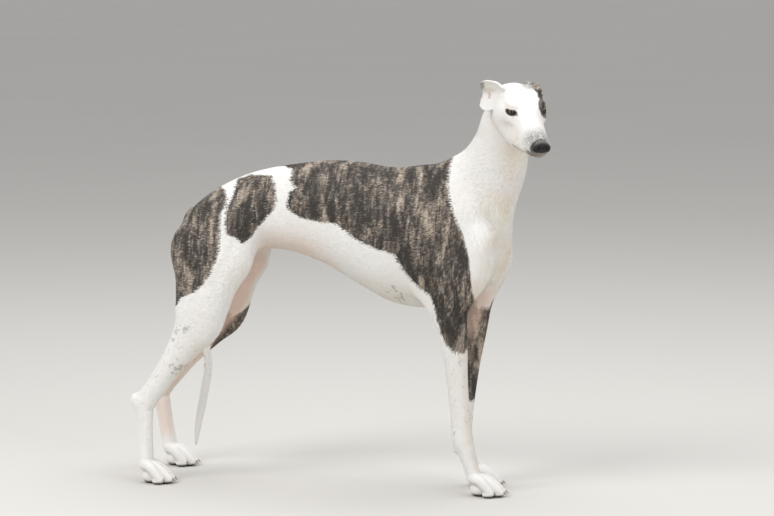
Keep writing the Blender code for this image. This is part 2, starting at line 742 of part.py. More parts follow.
def eye_frame(s):
    """The frame of an eye: x out along its axis, y towards the inner corner, z up."""
    out = Vector((cos(EYE_TURN), s * sin(EYE_TURN), 0.0))
    inner = Vector((sin(EYE_TURN) * cos(LID_TILT), -s * cos(EYE_TURN) * cos(LID_TILT), -sin(LID_TILT)))
    turn = Matrix((out, inner, out.cross(inner) * -s)).transposed().to_4x4()
    return HEAD @ Matrix.Translation((EYE_PLACE[0], s * EYE_PLACE[1], EYE_PLACE[2])) @ turn


def lid_line(grow):
    """Points of the almond between the lids, as offsets across the eye's axis."""
    line = []
    for i in range(LID_POINTS):
        turn = 2 * pi * i / LID_POINTS
        high = LID_OPENING[1] if sin(turn) > 0 else LID_OPENING[2]
        line.append((grow * LID_OPENING[0] * cos(turn), grow * high * sin(turn) * abs(sin(turn)) ** 0.15))
    return line


def eyeball(s, radius):
    mesh = bmesh.new()
    bmesh.ops.create_uvsphere(mesh, u_segments=16, v_segments=9, radius=radius)
    mesh.transform(HEAD @ Matrix.Translation((EYE_PLACE[0], s * EYE_PLACE[1], EYE_PLACE[2])))
    return new_object("eye_" + SIDE_NAMES[s], mesh)


def loft(rings, closed=False):
    """A closed mesh through rings of points, ends filled or joined in a loop."""
    mesh = bmesh.new()
    rows = [[mesh.verts.new(point) for point in ring] for ring in rings]
    pairs = list(zip(rows, rows[1:]))
    if closed:
        pairs.append((rows[-1], rows[0]))
    for one, two in pairs:
        for i in range(len(one)):
            j = (i + 1) % len(one)
            mesh.faces.new((one[i], one[j], two[j], two[i]))
    if not closed:
        mesh.faces.new(list(reversed(rows[0])))
        mesh.faces.new(rows[-1])
    bmesh.ops.triangulate(mesh, faces=mesh.faces)
    bmesh.ops.recalc_face_normals(mesh, faces=mesh.faces)
    return mesh


def lid_rim(s):
    """The thick edge of both lids, a closed tube round the almond."""
    place = eye_frame(s)
    rings = []
    for y, z in lid_line(1.10):
        away = sqrt(max((EYE_RADIUS + LID_THICKNESS) ** 2 - y * y - z * z, 0.0035 ** 2))
        middle = Vector((away, y, z))
        outward = middle.normalized()
        flat = Vector((0, y, z)).normalized()
        ring = []
        for k in range(6):
            a = 2 * pi * k / 6
            ring.append(place @ (middle + LID_RIM * (outward * cos(a) + flat * sin(a))))
        rings.append(ring)
    return new_object("rim", loft(rings, closed=True))


def lid_cutter(s):
    """The opening between the lids, widening outwards."""
    place = eye_frame(s)
    rings = [[place @ Vector((away, y, z)) for y, z in lid_line(grow)]
             for away, grow in ((0.002, 0.80), (0.034, 1.15))]
    return new_object("cutter", loft(rings))


def surface_from(forms, start, heading):
    """Where a line from inside the forms leaves them."""
    steps = np.linspace(0, 0.07, 141)
    values = blended_distance(forms, np.array(start) + steps[:, None] * np.array(heading))
    i = int(np.argmax(values > 0))
    share = values[i - 1] / (values[i - 1] - values[i])
    return Vector(start) + Vector(heading) * (steps[i - 1] + share * (steps[1] - steps[0]))


def mouth_cutter(forms):
    """A thin wedge run along the line where the lips meet, from corner to corner."""
    back, front = MOUTH_CORNER[0], MOUTH_FRONT[0]
    turn = HEAD.to_3x3()
    rings = []
    for i in range(MOUTH_STEPS + 1):
        t = 2 * i / MOUTH_STEPS - 1
        along = 1 - abs(t) ** 2.2
        z = MOUTH_CORNER[1] * (1 - along) + MOUTH_FRONT[1] * along
        core = Vector((back + (front - back) * min(along, 0.9), 0, z))
        angle = t * pi / 2 * min(1.0, 0.35 + abs(t))
        heading = (turn @ Vector((cos(angle), sin(angle), 0))).normalized()
        skin = surface_from(forms, HEAD @ core, heading)
        up = turn @ Vector((0, 0, 1))
        open_by = MOUTH_OPENING * (0.4 + 0.6 * min(1.0, (1 - abs(t)) * 8))
        rings.append((skin - heading * MOUTH_DEPTH, skin + heading * 0.004 - up * open_by,
                      skin + heading * 0.004 + up * open_by))
    return new_object("cutter", loft(rings))


def nostril_cutter(s):
    """The round of a nostril and the slit that leads from it to the side."""
    mesh = bmesh.new()
    bmesh.ops.create_uvsphere(mesh, u_segments=10, v_segments=8, radius=1.0)
    mesh.transform(Matrix.Diagonal((*NOSTRIL_SIZE, 1.0)))
    mesh.transform(HEAD @ Matrix.Translation((NOSE_TIP - 0.001, s * NOSTRIL_PLACE[0], NOSTRIL_PLACE[1]))
                   @ Matrix.Rotation(s * 0.5, 4, "Z"))
    return new_object("cutter", mesh)


def claw(place, heading, size):
    """A curved claw from its root at the place, drooping along its way."""
    rings = []
    heading = Vector(heading).normalized()
    across = heading.cross(Vector((0, 0, 1))).normalized()
    for t in (0.0, 0.35, 0.7, 1.0):
        middle = Vector(place) + heading * (size * 4.9 * t) + Vector((0, 0, -2.4 * size * t * t))
        thick = size * (1 - t) + 0.0011 * t
        rings.append([middle + (across * 0.8 * cos(a) + Vector((0, 0, sin(a)))) * thick
                      for a in (2 * pi * i / CLAW_SIDES for i in range(CLAW_SIDES))])
    return new_object("claw", loft(rings))


def toe_claws(knuckle, length, spread):
    """Claws of the four toes of one paw, each with its root inside the tip of its toe."""
    for lane, reach in TOES:
        tip = Vector((knuckle[0] + length * reach, knuckle[1] + 1.03 * lane * spread, 0.0150))
        yield claw(tip + Vector((-0.002, 0, 0)), (1, 0.10 * lane, 0), CLAW_SIZE)


def cut_body(body):
    """Parts the fused body into its named nodes."""
    pieces = []

    def part(source, cutter, name, seed):
        piece = part_off(source, cutter, name, seed)
        pieces.append(piece)
        return piece

    def part_inside(source, volume, name):
        piece = part_volume(source, volume, name)
        pieces.append(piece)
        return piece

    head = part(body, slab(*NAPE_CUT), "head", HEAD_PLACE + Vector((0, 0, 0.05)))
    part(body, slab(*COLLAR_CUT), "neck", (0.25, 0, 0.73))
    for s in (RIGHT, LEFT):
        side = SIDE_NAMES[s]
        profile = [(s * y, z) for y, z in FORELEG_PROFILE]
        volume = cutter_prism(profile, FORELEG_SPAN[0], FORELEG_SPAN[1:] * len(profile))
        leg = part_inside(body, volume, "foreleg_" + side)
        height, *sizes = WRIST_CUT
        part(leg, slab((*WRIST[s][:2], height), (1, 0, 0), (0, 1, 0), *sizes),
             "forepaw_" + side, (WRIST[s][0] + 0.06, WRIST[s][1], 0.01))
        profile = [(s * y, z) for y, z in THIGH_PROFILE]
        leg = part_inside(body, cutter_prism(profile, THIGH_BACK, THIGH_FRONT), "thigh_" + side)
        height, slope, *sizes = SHANK_CUT
        shank = part(leg, slab((STIFLE[s][0] - 0.02, STIFLE[s][1], height), slope, (0, 1, 0), *sizes),
                     "shank_" + side, (HOCK[s][0], s * 0.10, 0.20))
        height, *sizes = HOCK_CUT
        part(shank, slab((*HOCK[s][:2], height), (1, 0, 0), (0, 1, 0), *sizes),
             "hindpaw_" + side, (HOCK[s][0] + 0.05, HOCK[s][1], 0.01))
    nose = part_inside(head, cutter_box(*NOSE_BOX, HEAD), "nose")
    for s in (RIGHT, LEFT):
        combine(nose, nostril_cutter(s), "DIFFERENCE")
    body.name = "torso"
    pieces.append(body)
    return {piece.name: piece for piece in pieces}


def finish_head(head):
    """Lids, eye sockets and the line of the mouth."""
    eyes = []
    for s in (RIGHT, LEFT):
        combine(head, lid_rim(s), "UNION")
        combine(head, lid_cutter(s), "DIFFERENCE")
        combine(head, eyeball(s, EYE_RADIUS + GAP), "DIFFERENCE")
        eyes.append(eyeball(s, EYE_RADIUS))
    combine(head, mouth_cutter(head_forms()), "DIFFERENCE")
    return eyes


def cut_socket(thing, root):
    """Makes room for the sunk root of another object, with the gap all round it."""
    combine(thing, grown(twin(root, "socket"), GAP), "DIFFERENCE")
    keep_widest(thing)


def sunk_piece(name, mesh, hosts):
    """A piece modelled on its own, its root sunk into sockets of its hosts."""
    bmesh.ops.triangulate(mesh, faces=mesh.faces)
    bmesh.ops.recalc_face_normals(mesh, faces=mesh.faces)
    piece = new_object(name, mesh)
    for host in hosts:
        cut_socket(host, piece)
    return piece


def finish(thing, colour, roughness):
    """Gives the object its material and shades it smooth up to its sharp edges."""
    material = bpy.data.materials.new(thing.name)
    material.use_nodes = True
    shader = material.node_tree.nodes["Principled BSDF"]
    shader.inputs["Base Color"].default_value = (*colour, 1.0)
    shader.inputs["Roughness"].default_value = roughness
    shader.inputs["Metallic"].default_value = 0.0
    thing.data.materials.clear()
    thing.data.materials.append(material)
    thing.data.shade_smooth()
    thing.data.set_sharp_from_angle(angle=radians(50))


def main():
    clear_scene()
    body = settled_mesh("body", all_forms())
    for region, count in ((elsewhere, BODY_TRIANGLES), (near_head, HEAD_TRIANGLES), (in_paws, PAW_TRIANGLES)):
        thin_out(body, region, count)
    pieces = cut_body(body)
    eyes = finish_head(pieces["head"])
    tail_mesh = bmesh.new()
    tube_into(tail_mesh, tail_form(), TAIL_SIDES, 2)
    tail = sunk_piece("tail", tail_mesh, [pieces[name] for name in ("torso", "thigh_right", "thigh_left")])
    ears = [sunk_piece("ear_" + SIDE_NAMES[s], loft(ear_rings(s)), [pieces["head"], pieces["neck"]])
            for s in (RIGHT, LEFT)]
    for s in (RIGHT, LEFT):
        for name, knuckle, length, spread in (("forepaw_", FORE_KNUCKLE[s], *FORE_TOES),
                                              ("hindpaw_", HIND_KNUCKLE[s], *HIND_TOES)):
            paw = pieces[name + SIDE_NAMES[s]]
            combine(paw, cutter_box((-1, -1, -0.1), (1, 1, 0)), "DIFFERENCE")
            for one in toe_claws(knuckle, length, spread):
                combine(paw, one, "UNION")
    for piece in [*pieces.values(), *eyes, *ears, tail]:
        piece.data.transform(Matrix.Translation(-ORIGIN))
        colour, roughness = LOOKS.get(piece.name.split("_")[0], WHITE_COAT)
        finish(piece, colour, roughness)


main()
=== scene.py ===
"""The looks of the greyhound at life size: one skin with a short coat, eyes, nose, claws.

The skin repeats the forms of the solids on a finer grid and lies inside them by the depth
of the coat. The markings are worked out once for every point of the skin, from outlines of
the dark patches, and the tufts of the coat take them over from the points where they are
rooted. Lengths are in metres; tables of whole numbers are in tenths of a millimetre, where
they don't say otherwise. The dog is modelled in the frame of its trunk: it faces +X, its
right side is towards -Y and the floor is Z = 0.
"""

from math import cos, pi, radians, sin, sqrt

import bmesh
import bpy
import numpy as np
from mathutils import Matrix, Vector
from mathutils.bvhtree import BVHTree


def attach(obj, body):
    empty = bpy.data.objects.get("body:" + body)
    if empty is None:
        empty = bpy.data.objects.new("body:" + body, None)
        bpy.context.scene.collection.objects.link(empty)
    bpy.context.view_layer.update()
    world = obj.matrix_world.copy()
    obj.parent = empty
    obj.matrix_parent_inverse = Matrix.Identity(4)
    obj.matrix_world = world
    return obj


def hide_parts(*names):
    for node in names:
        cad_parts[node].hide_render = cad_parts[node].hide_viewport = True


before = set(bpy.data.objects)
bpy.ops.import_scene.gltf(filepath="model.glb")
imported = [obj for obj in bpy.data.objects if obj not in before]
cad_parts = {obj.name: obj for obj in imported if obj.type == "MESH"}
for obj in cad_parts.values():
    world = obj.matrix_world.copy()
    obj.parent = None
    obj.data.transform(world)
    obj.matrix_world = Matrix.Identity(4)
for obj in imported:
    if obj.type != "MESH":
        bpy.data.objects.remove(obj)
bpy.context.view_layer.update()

# The finished frame has its origin on the floor, under the middle of the whole model's box.
ORIGIN = Vector((-0.099, -0.043, 0.0))

VOXEL = 0.0044  # grid of the skin on the trunk and the legs
NOSE_VOXEL, NOSE_DEPTH = 0.0009, 0.0003  # grid of the nose, and how far it lies inside the solid
HEAD_CUTS, PAW_CUTS = 2, 1  # the grid is divided that often again on the head and the paws
RING_POINTS = 18  # points round a form's tube
HEAD_REACH = 0.17  # that far from between the eyes the head ends
PAW_TOP = 0.065  # the paws lie below this height
COAT_DEPTH = 0.0014  # the skin lies that far inside the solids
FACE_DEPTH = 0.0007
THINNEST = 0.0008
FAR = 0.5  # distance given to points that no form reaches
SEED = 7

RIGHT, LEFT = SIDES = -1, 1
SIDE_NAMES = {RIGHT: "right", LEFT: "left"}

# Joints of the legs as the dog stands, one place for each side: x, y, z.
ELBOW = {RIGHT: (0.158, -0.067, 0.392), LEFT: (0.176, 0.067, 0.392)}
WRIST = {RIGHT: (0.179, -0.056, 0.122), LEFT: (0.149, 0.056, 0.122)}
FORE_KNUCKLE = {RIGHT: (0.205, -0.054, 0.041), LEFT: (0.173, 0.052, 0.041)}
STIFLE = {RIGHT: (-0.388, -0.094, 0.372), LEFT: (-0.398, 0.096, 0.372)}
HOCK = {RIGHT: (-0.527, -0.098, 0.172), LEFT: (-0.566, 0.106, 0.172)}
HIND_KNUCKLE = {RIGHT: (-0.522, -0.104, 0.042), LEFT: (-0.545, 0.11, 0.042)}

# The head has a frame of its own: x forward, y to its left, z up, zero between the eyes.
HEAD_PLACE = Vector((0.3315, -0.119, 0.8285))
HEAD_YAW = radians(-61.0)
HEAD_PITCH = radians(15.5)
HEAD_ROLL = radians(0.8)
HEAD = (Matrix.Translation(HEAD_PLACE) @ Matrix.Rotation(HEAD_YAW, 4, "Z")
        @ Matrix.Rotation(HEAD_PITCH, 4, "Y") @ Matrix.Rotation(HEAD_ROLL, 4, "X"))

# Directions across the leaf of each ear and out of its cup.
EAR_ACROSS = {RIGHT: Vector((-0.15, 0.0, 0.99)), LEFT: Vector((-0.1, -0.68, 0.73))}
EAR_FACING = {RIGHT: Vector((0.76, -0.64, 0.11)), LEFT: Vector((0.12, 0.72, 0.68))}
EAR_FOLD = 0.45  # half width of the fold, by the half width of the ear
EAR_POINTS = 21
EAR_WELD = 0.0035  # reach of the rounding where an ear meets the head
EYE_PLACE = (-0.004, 0.0284, 0.0003)  # centre of the left eyeball in the head's frame
EYE_RADIUS = 0.0115
EYE_GAP = 0.0002  # the eyeball and its hollow each give way by that much
EYE_TURN = radians(34.0)  # how far an eye looks outwards
LID_THICKNESS = 0.0016
LID_TILT = radians(-2.0)  # turn of the opening between the lids about the gaze
LID_OPENING = (0.011, 0.0056, 0.0048)  # half length, height above and below the axis
NOSE_BACK = 0.1185  # where the leather of the nose begins
MOUTH_CORNER = (0.02, -0.0665)  # x and z of the corner and of the front of the mouth
MOUTH_FRONT = (0.108, -0.0565)
MOUTH_DEPTH = 0.003
LIP_POINTS = 72
MOUTH_OPENING = 0.0008  # half of the gap between the lips at the skin
TOES = ((-1.5, 0.7), (-0.5, 1.0), (0.5, 1.0), (1.5, 0.7))  # lane and reach of each toe
FORE_TOES = (0.06, 0.0145)  # length of the toes and their spread
HIND_TOES = (0.056, 0.0135)
CLAW_SIZE = 0.0036
LID_POINTS = 48
EYE_RIM = (0.0158, 0.0067)  # half size of the dark skin round an eye
RIM_LIFT, RIM_SIZE = 0.001, 0.0013  # place of the lids' edge over the eyeball, and its radius
CORNEA_RISE, CORNEA_ANGLE = 0.0011, 0.62

BODY_HAIR, FRINGE_HAIR, LEG_HAIR, FACE_HAIR = 0.0092, 0.0115, 0.0068, 0.004
SLIMNESS = 0.12  # width of a tuft by its length
COVER = 0.8  # how densely the tufts cover the skin
TIP_RISE = 0.06  # the most that a tuft's tip stands off the skin, by its length
TUFT_PATCH = 0.003  # size of a tuft on the unwrap
CLUMP, CLUMP_SHARE = 0.0032, 0.75  # size of a clump of tufts, and how far it sets their shade
LEAN = 0.14  # how unevenly the tufts catch the light
TUFT_TURN = 0.16  # how unevenly they lie, in radians
HASH_STEPS, HASH_SCALE = (12.9898, 78.233, 37.719), 43758.5453  # a number for each clump
PIECE_LIMIT = 180_000  # triangles in one piece of the coat

FLESH = ["head", "neck", "torso", "tail"] + [
    f"{part}_{side}" for part in ("ear", "foreleg", "forepaw", "thigh", "shank", "hindpaw")
    for side in ("right", "left")]

# Outlines of the dark patches of each side, as x and z in millimetres.
RIGHT_PATCHES = (
    # saddle, down to the forearm
    ((-262, 697), (-214, 691), (-203, 683), (-206, 666), (-189, 650), (-205, 641), (-207, 618), (-202, 603),
     (-178, 589), (-131, 580), (-96, 580), (-68, 562), (-38, 543), (6, 526), (39, 518), (56, 488), (76, 463),
     (96, 447), (116, 435), (125, 412), (131, 380), (139, 354), (152, 327), (170, 312), (188, 311),
     (202, 340), (215, 400), (208, 447), (206, 490), (203, 522), (192, 552), (178, 583), (167, 610),
     (159, 635), (150, 666), (147, 730), (-262, 740)),
    # hip
    ((-335, 664), (-305, 674), (-277, 674), (-253, 673), (-239, 657), (-236, 634), (-231, 622), (-239, 602),
     (-257, 582), (-274, 563), (-289, 541), (-302, 529), (-312, 541), (-326, 546), (-336, 556), (-338, 576),
     (-338, 597), (-334, 622), (-332, 645)),
    # buttock and back of the thigh
    ((-374, 647), (-356, 641), (-342, 622), (-342, 607), (-349, 597), (-348, 540), (-348, 517), (-355, 491),
     (-365, 465), (-382, 441), (-397, 426), (-416, 418), (-434, 411), (-446, 392), (-520, 392), (-520, 600),
     (-430, 680)),
)
LEFT_PATCHES = (
    ((-262, 697), (-235, 660), (-225, 620), (-190, 585), (-140, 565), (-80, 560), (-20, 520), (40, 480),
     (90, 440), (125, 400), (135, 300), (150, 215), (172, 185), (200, 215), (225, 330), (222, 400),
     (205, 470), (196, 540), (172, 600), (156, 650), (147, 730), (-262, 740)),
    ((-330, 680), (-300, 640), (-285, 590), (-318, 545), (-345, 490), (-350, 440), (-362, 385), (-340, 374),
     (-355, 320), (-380, 290), (-410, 264), (-440, 258), (-455, 320), (-450, 392), (-520, 392), (-520, 600),
     (-430, 690)),
)
# Pale streaks and dark zones of the right side: line in millimetres, half width, change of tone.
TONE_RIGHT = (
    (((40, 631), (61, 559)), 0.0024, 0.24), (((108, 610), (120, 560)), 0.0026, 0.26),
    (((78, 702), (92, 664)), 0.0035, 0.22), (((152, 590), (155, 550)), 0.0032, 0.2),
    (((136, 462), (166, 403)), 0.002, 0.2), (((-147, 712), (-85, 716), (-27, 712)), 0.012, 0.16),
    (((-255, 646), (-252, 600)), 0.004, 0.16), (((-172, 636), (-168, 600)), 0.0045, 0.18),
    (((44, 638), (68, 587)), 0.003, 0.16), (((37, 600), (83, 475)), 0.013, -0.12),
    (((-150, 600), (-146, 570)), 0.016, -0.1), (((-310, 600), (-262, 600)), 0.03, -0.04),
    (((-286, 640), (-278, 585)), 0.004, 0.24), (((-318, 660), (-306, 620)), 0.0045, 0.2),
    (((-292, 620), (-298, 545)), 0.012, -0.2), (((130, 480), (150, 420), (175, 350)), 0.03, -0.09),
    (((-150, 650), (-150, 620)), 0.02, -0.12),
)
# Lines that are raised or sunk, on the left side: line in tenths of a millimetre, half width, height.
FACE_STROKES = (
    (((-120, 435, 60), (-40, 415, 105), (60, 345, 85)), 0.0018, -0.0009),  # above the eye
    (((-100, 435, -85), (-10, 405, -105), (90, 330, -95)), 0.0016, -0.0006),  # below the eye
    (((95, 285, -45), (150, 265, -90), (200, 255, -140)), 0.0016, -0.0007),  # from its corner
    (((120, 360, -180), (-120, 440, -240), (-400, 470, -200)), 0.006, 0.0005),  # cheek
    (((240, 310, -520), (520, 270, -560), (800, 210, -550)), 0.0045, 0.001),  # upper lip
)
SHOULDER_STROKES = (
    (((1050, 580, 6720), (1500, 830, 6300), (1960, 940, 5800)), 0.008, 0.0016),
    (((1180, 880, 5600), (1220, 940, 4900), (1380, 960, 4250)), 0.009, -0.002),
)
THIGH_STROKES = (
    (((-3000, 880, 5600), (-3300, 1080, 5000), (-3600, 1180, 4400)), 0.01, -0.0016),
    (((-4180, 1100, 5400), (-4250, 1220, 4700), (-4320, 1180, 4000)), 0.009, -0.0022),
)
# Dark patches of the face, as centre and half size in the head's frame.
FACE_PATCHES = (
    ((0.0, 0.042, 0.006), (0.033, 0.024, 0.022)),
    ((-0.03, 0.052, 0.012), (0.04, 0.024, 0.026)),
    ((-0.064, 0.04, 0.026), (0.032, 0.02, 0.022)),
    ((-0.095, 0.036, 0.006), (0.042, 0.032, 0.036)),
)
# Grey fringe on the rim of the right ear, and the slot in its fold: pink skin, with a painted shadow along its
# middle.
EAR_FRINGE = (
    ((-0.09, -0.08, 0.03), (0.019, 0.011, 0.014)),
    ((-0.092, -0.078, 0.008), (0.014, 0.007, 0.008)),
)
EAR_SLOT = ((-0.08, -0.06, 0.014), (-0.079, -0.059, 0.004))
MOLE = (0.0487, -0.0311, -0.0433)  # a tan spot on the right lip
FAR_EAR = (((-0.068, 0.03, 0.036), (0.03, 0.026, 0.014)),)  # grey and tan streaks on the left ear
SOLE_HEIGHT = 0.0002
EDGE_RAGGED = 0.005

# The cream colour is both the coat's own cream tint and painted shade on the throat, the underside and under
# the jaw.
WHITE, SHADED_WHITE, CREAM_AND_SHADE = (0.81, 0.8, 0.775), (0.66, 0.645, 0.62), (0.74, 0.63, 0.48)
BRINDLE_DARK, BRINDLE_MID, BRINDLE_PALE = (0.034, 0.029, 0.024), (0.165, 0.137, 0.113), (0.48, 0.4, 0.315)
# The bare pink also paints a highlight along the upper lids.
# The leather colour also paints a shadow in the fold of the right ear.
TICKED, BARE_PINK_AND_HIGHLIGHT, LEATHER_AND_SHADE = (0.2, 0.19, 0.18), (0.74, 0.54, 0.44), (0.02, 0.016, 0.014)
PUPIL, IRIS_DARK, IRIS_LIGHT = (0.002, 0.002, 0.002), (0.1, 0.055, 0.02), (0.3, 0.19, 0.075)
IRIS_EDGE, EYE_WHITE = (0.012, 0.007, 0.004), (0.22, 0.16, 0.12)
# Lighter grey for the top of the nose leather: a painted reflection of the light on its upward face.
NOSE_TOP_REFLECTION = (0.13, 0.125, 0.12)
FLOOR_PALE, FLOOR_SHADE = (0.6, 0.585, 0.55), (0.57, 0.555, 0.52)

FLOOR_SIZE = 90.0
LIT_POINT = Vector((0.0, 0.0, 0.45))
# name, place, size, power
LIGHTS = (
    ("key", (-2.2, -3.6, 4.2), 3.0, 182.0),
    ("top", (0.6, 0.8, 4.6), 4.0, 112.0),
    ("fill", (4.2, -2.4, 2.4), 3.0, 60.0),
)
SKY_COLOUR, SKY_STRENGTH = (0.97, 0.975, 1.0), 0.62

# The camera of the photo: focal length, place, turn to the left and turn down.
LENS = 134.9
CAMERA_PLACE = Vector((1.709, -5.974, 1.2))
CAMERA_YAW, CAMERA_PITCH = radians(16.0), radians(6.44)


def dot(one, two):
    return np.einsum("ij,ij->i", one, two)


def norm(rows):
    return np.linalg.norm(rows, axis=1)


def unit(rows):
    return rows / norm(rows)[:, None]


def most(*values):
    return np.maximum.reduce(values)


def smooth_rows(rows, steps=5):
    """A Catmull-Rom curve through the rows, with the given number of steps in each span."""
    rows = np.asarray(rows, float)
    ends = np.vstack([2 * rows[0] - rows[1], rows, 2 * rows[-1] - rows[-2]])
    t = np.linspace(0, 1, steps, endpoint=False)[:, None]
    spans = []
    for p0, p1, p2, p3 in zip(ends, ends[1:], ends[2:], ends[3:]):
        curve = 2 * p1 + (p2 - p0) * t + (2 * p0 - 5 * p1 + 4 * p2 - p3) * t ** 2
        spans.append(0.5 * (curve + (3 * p1 - p0 - 3 * p2 + p3) * t ** 3))
    return np.vstack(spans + [rows[-1:]])


class Form:
    """A smooth run of oval rings. Each row is x, y, z, half width, half depth."""

    def __init__(self, rows, blend, egg=0.0, caps=None, place=None, upright=False, hollow=False):
        rows = smooth_rows(rows)
        self.blend, self.egg, self.upright, self.hollow = blend, egg, upright, hollow
        self.axis = rows[:, :3]
        self.side = np.tile((0.0, 1.0, 0.0), (len(rows), 1))
        if place is not None:
            turn = np.array(place.to_3x3())
            self.axis = self.axis @ turn.T + np.array(place.translation)
            self.side = self.side @ turn.T
        self.width, self.depth = np.maximum(rows[:, 3], THINNEST), np.maximum(rows[:, 4], THINNEST)
        ahead = np.gradient(self.axis, axis=0)
        if upright:
            ahead[:, 1:] = 0.0
        self.ahead = unit(ahead)
        self.side = unit(self.side - self.ahead * (self.side * self.ahead).sum(1)[:, None])
        self.up = np.cross(self.ahead, self.side)
        ends = np.minimum(self.width, self.depth)
        self.caps = caps or (ends[0], ends[-1])
        reach = max(self.width.max(), self.depth.max(), *self.caps) + blend + 0.02
        self.low, self.high = self.axis.min(0) - reach, self.axis.max(0) + reach

    def place_along(self, points):
        """How far along the axis each point lies, counted in rings."""
        if self.upright:
            rings = np.arange(len(self.axis))
            return rings[-1] - np.interp(points[:, 0], self.axis[::-1, 0], rings)
        ring = ((self.axis ** 2).sum(1) - 2 * points @ self.axis.T).argmin(1)
        place = np.zeros(len(points))
        nearest = np.full(len(points), np.inf)
        for j in (np.maximum(ring - 1, 0), np.minimum(ring, len(self.axis) - 2)):
            run = self.axis[j + 1] - self.axis[j]
            off = points - self.axis[j]
            t = np.clip(dot(off, run) / dot(run, run), 0, 1)
            off -= t[:, None] * run
            away = dot(off, off)
            place = np.where(away < nearest, j + t, place)
            nearest = np.minimum(nearest, away)
        return place

    def distance(self, points):
        """Roughly the distance to the form's surface, negative inside."""
        place = self.place_along(points)
        i = np.minimum(place.astype(int), len(self.axis) - 2)
        share = place - i

        def at(values):
            part = share if values.ndim == 1 else share[:, None]
            return values[i] * (1 - part) + values[i + 1] * part

        off = points - at(self.axis)
        v = dot(off, at(self.up)) / at(self.depth)
        w = dot(off, at(self.ahead)) / np.where(place < len(self.axis) / 2, self.caps[0], self.caps[1])
        u = dot(off, at(self.side)) / (at(self.width) * (1 - self.egg * np.clip(v, -1, 1)))
        ratio = np.sqrt(u * u + v * v + w * w) + 1e-9
        length = np.sqrt(dot(off, off)) + 1e-9
        return length - length / ratio


def blended_distance(forms, points):
    """Distance to the forms melted together in their order, each with its own blend."""
    total = np.full(len(points), FAR)
    for form in forms:
        near = np.all((points > form.low) & (points < form.high), axis=1)
        if not near.any():
            continue
        own = form.distance(points[near])
        before = total[near]
        k = form.blend
        if form.hollow:
            h = np.clip(0.5 - 0.5 * (before + own) / k, 0, 1)
            total[near] = before * (1 - h) - own * h + k * h * (1 - h)
        else:
            h = np.clip(0.5 + 0.5 * (before - own) / k, 0, 1)
            total[near] = before * (1 - h) + own * h - k * h * (1 - h)
    return total


def settle(forms, points, depth, rounds=3, step=0.0006, limit=0.006):
    """Moves the points along the slope of the distance to that depth under the surface."""
    value = blended_distance(forms, points)
    slope = np.empty_like(points)
    for k in range(3):
        aside = points.copy()
        aside[:, k] += step
        slope[:, k] = (blended_distance(forms, aside) - value) / step
    slope /= np.maximum((slope ** 2).sum(1), 0.05)[:, None]
    for _ in range(rounds):
        points = points - slope * np.clip(value + depth, -limit, limit)[:, None]
        value = blended_distance(forms, points)
    return points


def in_metres(table, s=1):
    """Rows that are given in tenths of a millimetre; s mirrors their second value."""
    return np.array(table) / 10000 * ([1, s] + [1] * (len(table[0]) - 2))


def limb_rows(joints, table):
    """Rows along a line through the joints, from rows of a place, which counts 10000 for
    each joint passed, the half width, the half depth and a shift along X."""
    rows = []
    for place, width, depth, shift in in_metres(table):
        i = min(int(place), len(joints) - 2)
        x, y, z = joints[i] + (joints[i + 1] - joints[i]) * (place - i)
        rows.append((x + shift, y, z, width, depth))
    return rows


def muscle(start, end, width, depth, blend, place=None, belly=0.5):
    """A spindle from start to end, fullest at the given place along it."""
    start, end = np.asarray(start, float), np.asarray(end, float)
    rows = []
    for t, size in ((0.0, 0.25), (belly * 0.5, 0.82), (belly, 1.0), (0.5 + belly * 0.5, 0.78), (1.0, 0.2)):
        rows.append((*(start * (1 - t) + end * t), width * size, depth * size))
    return Form(rows, blend, place=place)


def ball(centre, along, width, depth, blend, heading=(1, 0, 0), place=None, hollow=False):
    """An ellipsoid: half length along its heading, half width and half depth."""
    centre = np.asarray(centre, float)
    tip = np.asarray(heading, float) * along * 0.02
    rows = [(*(centre - tip), width, depth), (*(centre + tip), width, depth)]
    return Form(rows, blend, caps=(along, along), place=place, hollow=hollow)


def balls(table, s=1, place=None, hollow=False):
    """Ellipsoids, each from its centre, half length, half width, half depth and blend."""
    return [ball(row[:3], *row[3:], place=place, hollow=hollow) for row in in_metres(table, s)]


def trunk_forms():
    """Chest, loin and rump in one run: place along X, heights of back and belly, half width."""
    outline = in_metres((
        (2220, 6500, 4500, 580), (1650, 6970, 4100, 760), (950, 7040, 3940, 860), (140, 6960, 4030, 900),
        (-650, 7060, 4410, 860), (-1300, 7080, 4770, 760), (-2000, 7000, 5030, 660), (-2650, 6890, 5110, 630),
        (-3300, 6700, 5060, 660), (-3950, 6370, 5000, 600), (-4400, 6000, 5000, 420),
    ))
    rows = [(x, 0.0, (top + low) / 2, width, (top - low) / 2) for x, top, low, width in outline]
    return [Form(rows, 0.02, egg=-0.1, caps=(0.05, 0.03), upright=True)]


def neck_forms():
    return [Form(in_metres((
        (1580, 0, 5900, 600, 800), (1980, 0, 6500, 580, 880), (2320, -40, 7000, 500, 740),
        (2540, -140, 7520, 430, 610), (2670, -280, 7970, 410, 550), (2860, -460, 8360, 380, 460),
    )), 0.035, caps=(0.11, 0.04))]


def shoulder_forms(s):
    """Shoulder blade, upper arm, long head of the triceps and point of the shoulder."""
    elbow = ELBOW[s]
    return [
        muscle((0.092, s * 0.028, 0.672), (0.222, s * 0.066, 0.548), 0.03, 0.058, 0.03, belly=0.55),
        muscle((0.225, s * 0.062, 0.56), (elbow[0] + 0.004, s * 0.066, 0.4), 0.032, 0.05, 0.03, belly=0.4),
        muscle((0.1, s * 0.056, 0.6), (0.136, s * 0.069, 0.372), 0.03, 0.056, 0.03, belly=0.45),
        ball((0.22, s * 0.06, 0.543), 0.027, 0.028, 0.037, 0.035),
    ]


